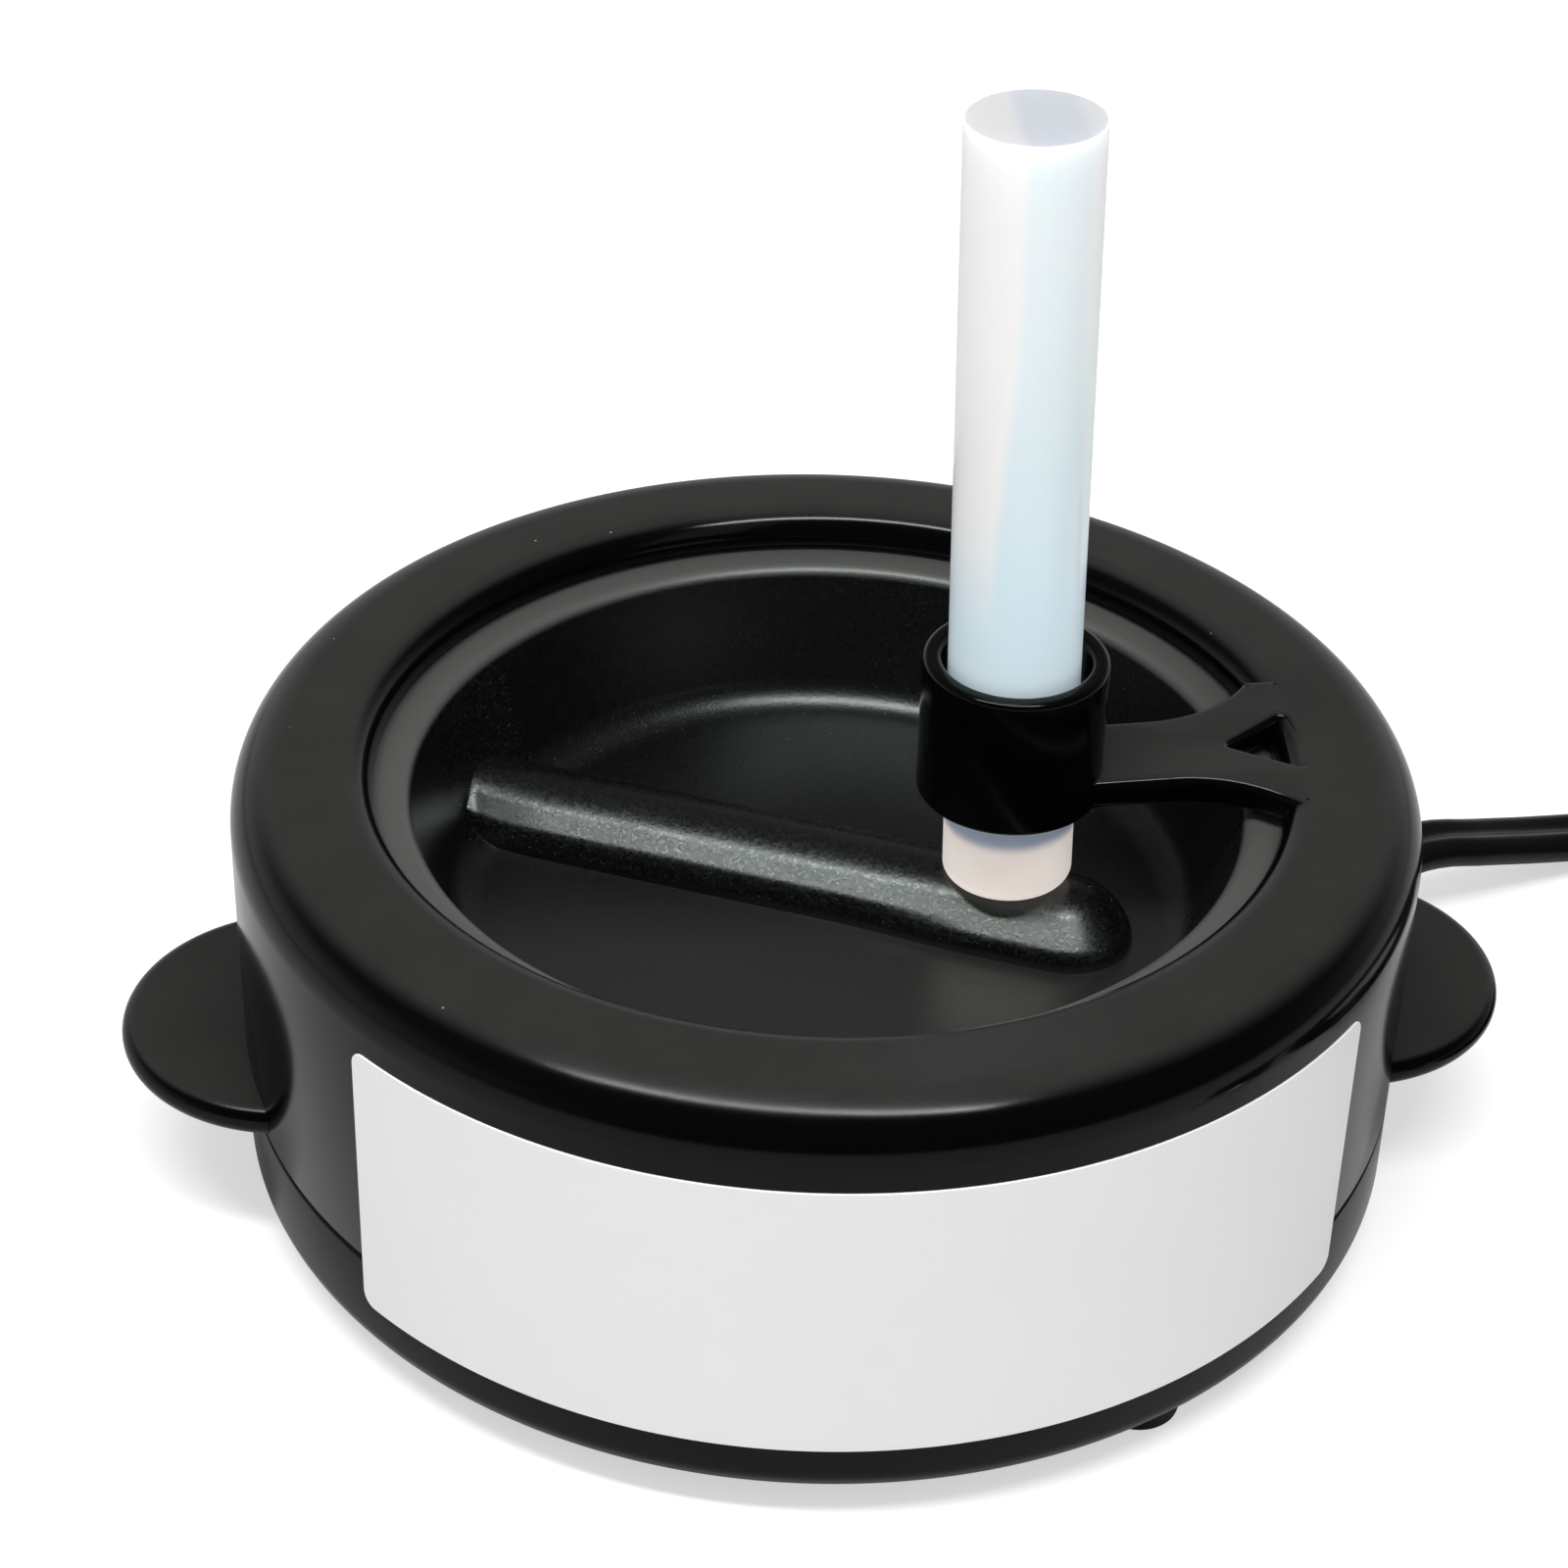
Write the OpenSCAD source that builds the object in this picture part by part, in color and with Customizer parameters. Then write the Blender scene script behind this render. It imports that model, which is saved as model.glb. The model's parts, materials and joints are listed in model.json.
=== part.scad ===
// Small electric pot that melts a stick of hot glue for dipping flower stems.
// The origin is on the bench under the middle of the body, +Z is up, and the
// two finger tabs lie on the X axis. All sizes are in millimetres.

/* [Body] */
// Outer diameter of the moulded body
body_d = 102; // [100:0.5:104]
// Height of the rim above the bench
rim_h = 41; // [40.5:0.5:43]
// Height of the joint between the upper and lower mouldings
joint_z = 12.25; // [11.5:0.25:13]
// Gap that the feet leave under the base
foot_h = 2.6; // [2:0.1:3]
// Thickness of the moulded walls
wall_t = 2.2; // [2:0.1:2.4]
// Radius of the rolled outer edge of the rim
rim_roll = 4.9; // [4:0.1:5.2]
// Inner radius of the lip over the pan
lip_r = 39; // [38.8:0.1:39.2]

/* [Finger tabs] */
// Reach of each tab from the pot's axis
tab_reach = 61.8; // [60:0.2:62]
// Radius of a tab, in plan
tab_r = 15.1; // [14.8:0.1:15.4]
// Thickness of the tabs
tab_t = 2.8; // [2.4:0.2:3.2]

/* [Pan] */
// Height of the pan's flange
flange_z = 37.3; // [37:0.1:37.4]
// Height of the pan's floor
floor_z = 24.3; // [24:0.1:24.6]
// Radius of the pan's mouth
mouth_r = 35.6; // [35:0.1:36]
// Radius where the wall meets the floor fillet
floor_r = 33.3; // [32.8:0.1:33.6]
// Radius of the rounded ridge over the heater
ridge_r = 5.8; // [5.7:0.1:6]
// Direction of the ridge across the pan, in degrees
ridge_turn = -24; // [-26:1:-22]
// Distance of the ridge behind the pan's middle
ridge_y = 3.1; // [2.8:0.1:3.2]

/* [Stick holder] */
// Place of the collar, along X
collar_x = 15.2; // [15:0.1:15.5]
// Place of the collar, along Y
collar_y = -3.2; // [-3.5:0.1:-3]
// Outer radius of the collar
collar_r = 7.9; // [7.7:0.1:8.2]
// Bore radius of the collar
collar_bore = 6.3; // [6.2:0.1:6.4]
// Height of the top of the collar
collar_top = 51.3; // [49:0.1:53]
// Direction of the arm from the collar to the rim, in degrees
arm_turn = 3.2; // [2:0.2:4]
// Thickness of the arm
arm_t = 2.8; // [2.6:0.1:3]

/* [Glue stick] */
// Diameter of a full-size stick
stick_d = 11.2; // [11:0.1:11.3]
// Length of the stick that is left
stick_len = 70; // [40:1:120]
// Lean of the loose stick towards -X, in degrees
stick_lean = 1.5; // [0:0.1:1.6]

/* [Blank label] */
// Lower edge of the label
label_z0 = 7.7; // [7:0.1:9]
// Upper edge of the label
label_z1 = 34.2; // [30:0.1:35]
// Half of the angle that the label covers
label_half = 52.2; // [40:0.2:56]

/* [Cord] */
// Width of the flat two-core cord
cord_w = 6.2; // [6:0.1:6.4]
// Thickness of the flat two-core cord
cord_t = 3.1; // [3:0.1:3.2]
// Direction in which the cord leaves the body, in degrees
cord_az = 24.8; // [24.4:0.2:25]
// Outer radius of the coil, at the middle of its outer turn
coil_r = 45.5; // [45:0.5:46]
// Step from turn to turn
coil_step = 7; // [7:0.1:7.2]
// Step from layer to layer
coil_lift = 3.7; // [3.7:0.1:4]

/* [Hidden] */
$fn = 96;

body_r = body_d / 2;
gap = 0.15;
plastic = [0.07, 0.07, 0.075];
steel = [0.72, 0.72, 0.74];

// Rim profile
top_in = lip_r + 2.5;
top_out = body_r - rim_roll;
roof_z = rim_h - wall_t;
wall_in = body_r - wall_t;
lip_z = flange_z + 0.45;
lip_edge = 0.5;

// Fasteners: circles of three, with the pan's lugs between the housing's posts
screw_ring = 44.2;
housing_az = [0, 120, 240];
lug_az = [60, 180, 300];
boss_r = 2.9;
housing_boss_z = 7.4;
lug_z = 29.5;
lug_t = 2.5;
washer_t = 0.8;
washer_r = 3.4;
screw_shank = 1.2;
screw_bore = 1.25;
pass_bore = 1.7;
head_r = 2.8;

// Pan casting
pan_t = 2.2;
flange_r = 40.6;
fillet_r = 3.5;
mouth_roll = 1.2;
ridge_end = 21.2;
ridge_sink = 0.8;
pad_z = 18.6;
pad_w = 20;
pad_x0 = -26;
pad_x1 = 24;

// Heater stack in the channel under the ridge, from the top down
channel_w = 7.8;
channel_top = 26.3;
channel_x0 = -25;
channel_x1 = 22;
stack_w = 7.6;
stack_len = 42;
stack_top = 26.2;
stack_bottom = 21.6;
film_t = 0.25;
electrode_t = 0.5;
electrode_w = 6.8;
chip_w = 6.6;
chip_len = 12.6;
chip_pitch = 13.4;
tab_y = 1.8;
clamp_t = 1.2;
clamp_screw_x = 15;
clamp_screw_y = 7;

// Base
base_z = foot_h;
base_t = 2.4;
base_roll = 2.5;
foot_ring = 45.4;
foot_r = 3.8;
foot_seat = 1;
foot_az = [-60, 60, 180];

// Fuse beside the pad and the joints of its wires. Lead points are places that a wire passes
sleeve_r = 2.7;
fuse_y = 13.8;
fuse_z = 19.3;
fuse_lead_end = 9.7;
splice_y = 3.2;
splice_z = 7.4;
splice_len = 8;
live_splice = 21.4;
neutral_splice = 20;
clamp_r = 36;
wire_d = 1.8;
function ridge_point(x, y, z) = let (v = y + ridge_y)
    [x * cos(ridge_turn) - v * sin(ridge_turn), x * sin(ridge_turn) + v * cos(ridge_turn), z];
function cord_point(x, y, z) =
    [x * cos(cord_az) - y * sin(cord_az), x * sin(cord_az) + y * cos(cord_az), z];
live_route = [
    ridge_point(-23, tab_y, 25.4), ridge_point(-23, tab_y, 22), ridge_point(-23, tab_y, 17.5),
    ridge_point(-22.6, 3.5, 14.6), ridge_point(-21, 8, 14.2), ridge_point(-17.5, 12.2, 16.6),
    ridge_point(-14, 13.6, 18.8), ridge_point(-11.8, fuse_y, fuse_z), ridge_point(-9.8, fuse_y, fuse_z)
];
neutral_route = [
    ridge_point(-23, -tab_y, 21.8), ridge_point(-23, -tab_y, 19), ridge_point(-22.8, -tab_y, 15.5),
    [-18.6, 8.6, 11.5], [-15, 6, 8.4], [-8.6, 2.2, 6.3], [0, 0, 6], [9, 1, 6.2], [15, 3.2, 7],
    cord_point(neutral_splice, -splice_y, splice_z)
];
fuse_route = [
    ridge_point(9.8, fuse_y, fuse_z), ridge_point(11.8, fuse_y, fuse_z), [19.6, 9.2, 17.2], [19, 9.2, 14.2],
    [15.6, 8.8, 11.8], [11.5, 8.2, 10.8], [9.6, 8.6, 8.8], [10.6, 9, 7], [13.2, 9.6, 6.6],
    [16, 10.8, 7.1], cord_point(live_splice, splice_y, splice_z)
];

// Cord entry and the free cord. Route points are places that the cord passes.
entry_z = 7;
neck_r = 3.4;
boot_len = 15;
exit_len = 3;
coil_x = 126;
coil_y = -6.5;
coil_low = 2.2;
coil_turns = 5.25;
coil_lead = 6.4;
cord_route = [
    [66, 30.2, 6.6], [69, 31.1, 5.9], [72.1, 32.3, 5.05], [75.5, 33.5, 4.2], [79.3, 34.8, 3.35],
    [83.5, 36, 2.6], [88, 37, 2.1], [94.5, 38, 1.9], [101.5, 38.7, 1.8], [109, 39, 2],
    [114, 39, coil_low]
];
end_route = [
    [171.8, -20, 6], [171.6, -28, 5], [169.5, -36, 3.4], [165, -44, 2.1], [158.5, -51, 1.8],
    [150, -57, 1.9], [141, -60.8, 2.8], [131.5, -62, 4.8], [124, -62, 6.2]
];
tie_az = 200;
tie_t = 0.5;
tie_w = 7;
plug_x = 118;
plug_y = -62;
plug_z = 6.5;

// ---- shared shapes ----

// Quarter of a disc in the (sx, sy) quadrant of its own centre
module quarter(r, sx, sy) {
    intersection() {
        circle(r);
        translate([sx > 0 ? 0 : -r, sy > 0 ? 0 : -r]) square(r);
    }
}

// Copies its children round the pot's axis, turned to face outwards
module around(angles, r) {
    for (a = angles) rotate([0, 0, a]) translate([r, 0, 0]) children();
}

module ring(r_out, r_in, h) {
    difference() {
        cylinder(r = r_out, h = h);
        translate([0, 0, -1]) cylinder(r = r_in, h = h + 2);
    }
}

// Screw with its head downwards: the head's top face is at z = 0
module screw(shank_len, shank_r, head_h) {
    cylinder(r = shank_r, h = shank_len, $fn = 24);
    difference() {
        translate([0, 0, -head_h]) cylinder(r = head_r, h = head_h, $fn = 32);
        translate([0, 0, -head_h - 0.1]) linear_extrude(head_h * 0.55) {
            square([3.4, 0.8], center = true);
            square([0.8, 3.4], center = true);
        }
    }
}

function unit(v) = v / norm(v);

// Direction of travel at point i of a path
function heading(p, i) =
    unit(p[min(i + 1, len(p) - 1)] - p[max(i - 1, 0)]);

// Level side of each ring, so that a flat cord lies flat
function level_sides(p) =
    [for (i = [0:len(p) - 1]) unit(cross([0, 0, 1], heading(p, i)))];

// Side of each ring carried on from the one before, so that a wire doesn't twist
function carried_sides(p) = [for (
    i = 0, s = unit(cross([0.3, 0.2, 1], heading(p, 0)));
    i < len(p);
    s = unit(s - (s * heading(p, i + 1)) * heading(p, i + 1)), i = i + 1) s];

// Oval ring at point c with width w along its side and height h across it
function ring_points(c, d, side, w, h, n) =
    [for (k = [0:n - 1]) let (a = 360 * k / n)
        c + side * cos(a) * w / 2 + cross(d, side) * sin(a) * h / 2];

// Closed tube with n sides along a path
module tube(p, sides, w, h, n) {
    rings = len(p);
    points = [for (i = [0:rings - 1]) each ring_points(p[i], heading(p, i), sides[i], w, h, n)];
    walls = [for (i = [0:rings - 2]) for (k = [0:n - 1])
        let (a = i * n + k, b = i * n + (k + 1) % n)
        each [[a, a + n, b], [b, a + n, b + n]]];
    start = [for (k = [1:n - 2]) [0, k, k + 1]];
    last = (rings - 1) * n;
    end = [for (k = [1:n - 2]) [last, last + k + 1, last + k]];
    polyhedron(points = points, faces = concat(walls, start, end), convexity = 6);
}

module flat_cord(p, n = 8) {
    tube(p, level_sides(p), cord_w, cord_t, n);
}

module wire(p) {
    tube(p, carried_sides(p), wire_d, wire_d, 8);
}

module ridge_frame() {
    rotate([0, 0, ridge_turn]) translate([0, ridge_y, 0]) children();
}

// ---- mouldings ----

// Section of the upper moulding: wall, rolled rim, flat top and rolled lip
module rim_section() {
    translate([wall_in, joint_z + gap]) square([wall_t, rim_h - rim_roll - joint_z - gap]);
    translate([top_out, rim_h - rim_roll]) difference() {
        quarter(rim_roll, 1, 1);
        circle(rim_roll - wall_t);
    }
    translate([top_in, roof_z]) square([top_out - top_in, wall_t]);
    translate([top_in, rim_h - 2.5]) quarter(2.5, -1, 1);
    translate([lip_r, lip_z + lip_edge]) square([wall_t, 1]);
    translate([lip_r + lip_edge, lip_z]) square([wall_t - 2 * lip_edge, 1]);
    for (x = [lip_edge, wall_t - lip_edge])
        translate([lip_r + x, lip_z + lip_edge]) circle(lip_edge, $fn = 24);
}

// Tab that fingers hold: a disc with a full round edge, of which the wall hides the inner half
module tab() {
    edge = tab_t / 2;
    translate([tab_reach - tab_r, 0, joint_z + gap]) rotate_extrude() {
        square([tab_r - edge, tab_t]);
        translate([tab_r - edge, edge]) intersection() {
            circle(edge, $fn = 32);
            translate([0, -edge]) square([edge, tab_t]);
        }
    }
}

// Plan of the arm from the collar's axis: a bar that flares into the rim on two arcs
module arm_plan() {
    bar = 4.7;
    flare = 12.5;
    flare_x = 13;
    root = 9.8;
    reach = 27;
    difference() {
        union() {
            translate([0, -bar]) square([reach, 2 * bar]);
            translate([flare_x, -root]) square([reach - flare_x, 2 * root]);
        }
        for (s = [-1, 1]) translate([flare_x, s * (bar + flare)]) circle(flare, $fn = 64);
        polygon([[19.1, 0], [25.2, 4.2], [25.2, -4.2]]);
    }
}

// Section of the collar's wall with its edges rolled
module collar_section() {
    edge = 0.5;
    h = collar_top - (rim_h - arm_t);
    t = collar_r - collar_bore;
    translate([collar_bore, edge]) square([t, h - 2 * edge]);
    translate([collar_bore + edge, 0]) square([t - 2 * edge, h]);
    for (x = [edge, t - edge], z = [edge, h - edge])
        translate([collar_bore + x, z]) circle(edge, $fn = 24);
}

module upper_housing() {
    color(plastic) {
        difference() {
            union() {
                rotate_extrude() rim_section();
                for (a = [0, 180]) rotate([0, 0, a]) difference() {
                    tab();
                    cylinder(r = wall_in + 0.4, h = rim_h);
                }
                around(housing_az, screw_ring)
                    translate([0, 0, housing_boss_z]) cylinder(r = boss_r, h = roof_z - housing_boss_z + 0.4);
                around(lug_az, screw_ring) translate([0, 0, lug_z + lug_t + washer_t])
                    cylinder(r = boss_r, h = roof_z - lug_z - lug_t - washer_t + 0.4);
            }
            around(housing_az, screw_ring)
                translate([0, 0, housing_boss_z - 1]) cylinder(r = screw_bore, h = 12, $fn = 24);
            around(lug_az, screw_ring)
                translate([0, 0, lug_z]) cylinder(r = screw_bore, h = roof_z - lug_z, $fn = 24);
        }
        stick_holder();
    }
}

// Arm and collar, in one with the rim
module stick_holder() {
    translate([collar_x, collar_y, rim_h - arm_t]) {
        difference() {
            intersection() {
                rotate([0, 0, arm_turn]) linear_extrude(arm_t) arm_plan();
                translate([-collar_x, -collar_y, 0]) cylinder(r = top_in + 0.4, h = arm_t);
            }
            translate([0, 0, -1]) cylinder(r = collar_r - 0.6, h = arm_t + 2);
        }
        rotate_extrude() collar_section();
    }
}

module lower_housing() {
    spigot_in = 47.2;
    spigot_out = wall_in - 0.2;
    color(plastic) difference() {
        union() {
            rotate_extrude() {
                translate([spigot_out - 0.2, base_z + base_roll])
                    square([body_r - spigot_out + 0.2, joint_z - gap - base_z - base_roll]);
                translate([0, base_z]) square([body_r - base_roll, base_t]);
                translate([body_r - base_roll, base_z + base_roll]) quarter(base_roll, 1, -1);
                translate([spigot_in, base_z + 1]) square([spigot_out - spigot_in, joint_z + 1.2 - base_z]);
            }
            around(housing_az, screw_ring)
                translate([0, 0, base_z + 1]) cylinder(r = 4.3, h = housing_boss_z - base_z - 1.2, $fn = 48);
            for (s = [-1, 1]) rotate([0, 0, cord_az]) translate([clamp_r, s * 6, base_z + 1])
                cylinder(r = 2.6, h = entry_z - cord_t / 2 - base_z - 1, $fn = 32);
        }
        around(housing_az, screw_ring) {
            translate([0, 0, base_z - 1]) cylinder(r = pass_bore, h = 10, $fn = 24);
            translate([0, 0, base_z - 1]) cylinder(r = head_r + 0.3, h = 2.9, $fn = 32);
        }
        around(foot_az, foot_ring)
            translate([0, 0, base_z - 1]) cylinder(r = foot_r + 0.1, h = 1 + foot_seat, $fn = 48);
        for (s = [-1, 1]) rotate([0, 0, cord_az]) translate([clamp_r, s * 6, base_z + 1.4])
            cylinder(r = screw_bore, h = 8, $fn = 24);
        translate([0, 0, entry_z]) rotate([0, 0, cord_az]) rotate([0, 90, 0])
            translate([0, 0, 46.5]) cylinder(r = neck_r + 0.1, h = 10, $fn = 48);
    }
}

// Outside of a rounded corner, seen from the pot's axis: sy and sz point out of the label
module label_corner(sy, sz, r) {
    rotate([0, 90, 0]) difference() {
        translate([sz > 0 ? -r - 1 : 0, sy > 0 ? 0 : -r - 1, 0]) cube([r + 1, r + 1, 3]);
        translate([0, 0, -1]) cylinder(r = r, h = 5, $fn = 32);
    }
}

module blank_label() {
    thick = 0.15;
    corner = 1.4;
    // the arcs cross the edges 0.06 mm in, so each corner is a clean cut
    inset = corner - 0.06;
    corner_a = 360 * inset / (2 * PI * body_r);
    color([0.9, 0.9, 0.89]) rotate([0, 0, -91]) difference() {
        rotate([0, 0, -label_half]) rotate_extrude(angle = 2 * label_half)
            translate([body_r, label_z0]) square([thick, label_z1 - label_z0]);
        for (sy = [-1, 1], sz = [-1, 1]) rotate([0, 0, sy * (label_half - corner_a)])
            translate([body_r - 1.5, 0, sz > 0 ? label_z1 - inset : label_z0 + inset])
                label_corner(sy, sz, corner);
    }
}

// ---- pan ----

// Space inside the pan: floor, fillet, sloping wall and rolled mouth
module pan_cavity() {
    knee_z = floor_z + fillet_r;
    lip_start = flange_z - mouth_roll;
    rotate_extrude() {
        translate([0, floor_z]) square([floor_r - fillet_r, fillet_r]);
        translate([floor_r - fillet_r, knee_z]) quarter(fillet_r, 1, -1);
        polygon([[0, knee_z], [floor_r, knee_z], [mouth_r, lip_start], [0, lip_start]]);
        difference() {
            translate([0, lip_start]) square([mouth_r + mouth_roll, mouth_roll + 1]);
            translate([mouth_r + mouth_roll, lip_start]) circle(mouth_roll, $fn = 48);
        }
    }
}

module glue_pan() {
    knee_z = floor_z + fillet_r;
    color([0.05, 0.05, 0.05]) difference() {
        union() {
            rotate_extrude() polygon([
                [0, floor_z - pan_t], [floor_r - 1.6, floor_z - pan_t],
                [floor_r + pan_t, knee_z - 1.5], [mouth_r + pan_t, flange_z - pan_t],
                [flange_r, flange_z - pan_t], [flange_r, flange_z], [0, flange_z]
            ]);
            around(lug_az, 0) translate([floor_r, -3.5, lug_z]) cube([screw_ring - floor_r, 7, lug_t]);
            around(lug_az, screw_ring) translate([0, 0, lug_z]) cylinder(r = 3.5, h = lug_t, $fn = 48);
            ridge_frame() translate([pad_x0, -pad_w / 2, pad_z])
                cube([pad_x1 - pad_x0, pad_w, floor_z - pad_z - 1]);
        }
        difference() {
            pan_cavity();
            ridge_frame() translate([0, 0, floor_z - ridge_sink]) {
                translate([-40, 0, 0]) rotate([0, 90, 0]) cylinder(r = ridge_r, h = 40 + ridge_end);
                translate([ridge_end, 0, 0]) sphere(r = ridge_r);
            }
        }
        ridge_frame() {
            translate([channel_x0, -channel_w / 2, pad_z - 1])
                cube([channel_x1 - channel_x0, channel_w, channel_top - pad_z + 1]);
            for (s = [-1, 1]) translate([s * clamp_screw_x, s * clamp_screw_y, pad_z - 1])
                cylinder(r = screw_bore, h = 5.2, $fn = 24);
        }
        around(lug_az, screw_ring)
            translate([0, 0, lug_z - 1]) cylinder(r = pass_bore, h = lug_t + 2, $fn = 24);
    }
}

// ---- glue stick ----

module glue_stick() {
    guide_z = (collar_top + rim_h - arm_t) / 2;
    rest_z = floor_z - ridge_sink + ridge_r + 0.3;
    color([0.85, 0.89, 0.92, 0.8]) translate([collar_x, collar_y, guide_z])
        rotate([0, -stick_lean, 0]) translate([0, 0, rest_z - guide_z]) cylinder(d = stick_d, h = stick_len);
}

// ---- heater, in the frame of the ridge ----

module in_channel(x, w, z0, z1, l, y = 0) {
    ridge_frame() translate([x - l / 2, y - w / 2, z0]) cube([l, w, z1 - z0]);
}

module heater_ceramics() {
    color([0.45, 0.42, 0.38]) for (i = [-1:1])
        in_channel(i * chip_pitch, chip_w, stack_bottom + film_t + electrode_t,
            stack_top - film_t - electrode_t, chip_len);
}

// Strip that feeds the ceramics, with a tab for its lead at one end
module electrode(z, y) {
    color(steel) {
        in_channel(0, electrode_w, z, z + electrode_t, stack_len);
        in_channel(-stack_len / 2 - 1, 2.6, z, z + electrode_t, 4, y);
    }
}

module upper_electrode() {
    electrode(stack_top - film_t - electrode_t, tab_y);
}

module lower_electrode() {
    electrode(stack_bottom + film_t, -tab_y);
}

module heater_insulation() {
    color([0.75, 0.5, 0.15]) difference() {
        in_channel(0, stack_w, stack_bottom, stack_top, stack_len - 0.6);
        in_channel(0, electrode_w + 0.1, stack_bottom + film_t, stack_top - film_t, stack_len + 2);
    }
}

module pressure_bar() {
    color(steel) in_channel(0, stack_w, pad_z, stack_bottom, stack_len - 2);
}

module heater_clamp() {
    color(steel) ridge_frame() translate([0, 0, pad_z - clamp_t]) difference() {
        union() {
            translate([-18, -4.6, 0]) cube([36, 9.2, clamp_t]);
            for (s = [-1, 1]) translate([s * clamp_screw_x - 3.2, s > 0 ? 0 : -clamp_screw_y, 0])
                cube([6.4, clamp_screw_y, clamp_t]);
            for (s = [-1, 1]) translate([s * clamp_screw_x, s * clamp_screw_y, 0])
                cylinder(r = 3.2, h = clamp_t, $fn = 32);
            translate([-4, 4, 0]) cube([8, fuse_y - 4 - sleeve_r - 0.3, clamp_t]);
        }
        for (s = [-1, 1]) translate([s * clamp_screw_x, s * clamp_screw_y, -1])
            cylinder(r = pass_bore, h = clamp_t + 2, $fn = 24);
    }
    color(steel) ridge_frame() translate([-4, fuse_y, fuse_z]) rotate([0, 90, 0])
        rotate([0, 0, -90]) rotate_extrude(angle = 180) translate([sleeve_r + 0.1, 0]) square([0.8, 8]);
}

module clamp_screws() {
    color(steel) ridge_frame() for (s = [-1, 1])
        translate([s * clamp_screw_x, s * clamp_screw_y, pad_z - clamp_t]) screw(5, screw_shank, 1.6);
}

// ---- fasteners ----

module pan_washers() {
    color([0.8, 0.76, 0.62]) around(lug_az, screw_ring)
        translate([0, 0, lug_z + lug_t]) ring(washer_r, pass_bore, washer_t);
}

module pan_screws() {
    color(steel) around(lug_az, screw_ring) translate([0, 0, lug_z]) screw(8.6, screw_shank, 2);
}

module housing_screws() {
    color(steel) around(housing_az, screw_ring) translate([0, 0, base_z + 1.9]) screw(13, screw_shank, 1.6);
}

// ---- wiring under the pan ----

module thermal_fuse() {
    color(steel) ridge_frame() translate([0, fuse_y, fuse_z]) rotate([0, 90, 0]) {
        translate([0, 0, -5]) cylinder(r = 1.9, h = 10, $fn = 32);
        translate([0, 0, -fuse_lead_end]) cylinder(r = 0.5, h = 2 * fuse_lead_end, $fn = 24);
    }
}

module fuse_sleeve() {
    color([0.88, 0.86, 0.8]) ridge_frame() translate([-8, fuse_y, fuse_z])
        rotate([0, 90, 0]) ring(sleeve_r, 2.1, 16);
}

module live_lead() {
    color([0.75, 0.1, 0.08]) wire(live_route);
}

module neutral_lead() {
    color([0.9, 0.9, 0.88]) wire(neutral_route);
}

module fuse_lead() {
    color([0.75, 0.1, 0.08]) wire(fuse_route);
}

// Crimped sleeves that join the cord's two cores to the leads
module crimp_splices() {
    color([0.9, 0.88, 0.8]) rotate([0, 0, cord_az])
        for (p = [[live_splice, splice_y], [neutral_splice, -splice_y]])
            translate([p[0], p[1], splice_z]) rotate([0, 90, 0]) cylinder(r = 2.3, h = splice_len, $fn = 32);
}

// Stub of cord from the entry through its clamp, and its two bared-back cores
module inner_cord() {
    stub = [for (r = [wall_in - 1.2, 44, 40, 36, 32]) cord_point(r, 0, entry_z)];
    color(plastic) {
        flat_cord(stub);
        wire([cord_point(32, 1.5, entry_z), cord_point(31.2, 2, entry_z + 0.1),
            cord_point(30.2, splice_y, splice_z), cord_point(live_splice + splice_len, splice_y, splice_z)]);
        wire([cord_point(32, -1.5, entry_z), cord_point(31.2, -2, entry_z + 0.1),
            cord_point(29.8, -splice_y, splice_z),
            cord_point(neutral_splice + splice_len, -splice_y, splice_z)]);
    }
}

module cord_clamp() {
    z0 = entry_z + cord_t / 2;
    color(plastic) rotate([0, 0, cord_az]) translate([clamp_r, 0, z0]) difference() {
        union() {
            translate([-2.6, -6, 0]) cube([5.2, 12, 2]);
            for (s = [-1, 1]) translate([0, s * 6, -cord_t]) cylinder(r = 2.6, h = cord_t + 2, $fn = 32);
        }
        for (s = [-1, 1]) translate([0, s * 6, -5]) cylinder(r = 1.4, h = 8, $fn = 24);
    }
}

module cord_clamp_screws() {
    z0 = entry_z + cord_t / 2 + 2;
    color(steel) rotate([0, 0, cord_az]) for (s = [-1, 1])
        translate([clamp_r, s * 6, z0]) rotate([180, 0, 0]) screw(6.4, screw_shank, 1.4);
}

// ---- feet ----

module foot(a) {
    color([0.1, 0.1, 0.1]) rotate([0, 0, a]) translate([foot_ring, 0, 0]) {
        cylinder(r1 = foot_r - 0.3, r2 = foot_r, h = foot_h - 0.4, $fn = 48);
        translate([0, 0, foot_h - 0.4]) cylinder(r = foot_r, h = 0.4 + foot_seat, $fn = 48);
    }
}

module foot_front() {
    foot(foot_az[0]);
}

module foot_rear() {
    foot(foot_az[1]);
}

module foot_left() {
    foot(foot_az[2]);
}

// ---- cord ----

// Neck through the wall and a boot outside it that tapers from round to flat
module strain_relief() {
    color(plastic) translate([0, 0, entry_z]) rotate([0, 0, cord_az]) {
        rotate([0, 90, 0]) translate([0, 0, wall_in - 1.2]) cylinder(r = neck_r, h = 4, $fn = 48);
        hull() {
            translate([body_r + 0.2, 0, 0]) rotate([0, 90, 0]) cylinder(r = 4.1, h = 1.4, $fn = 32);
            translate([body_r + boot_len - 0.6, 0, 0]) rotate([0, 90, 0])
                linear_extrude(0.6) scale([0.62, 1]) circle(3.8, $fn = 32);
        }
    }
}

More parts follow.
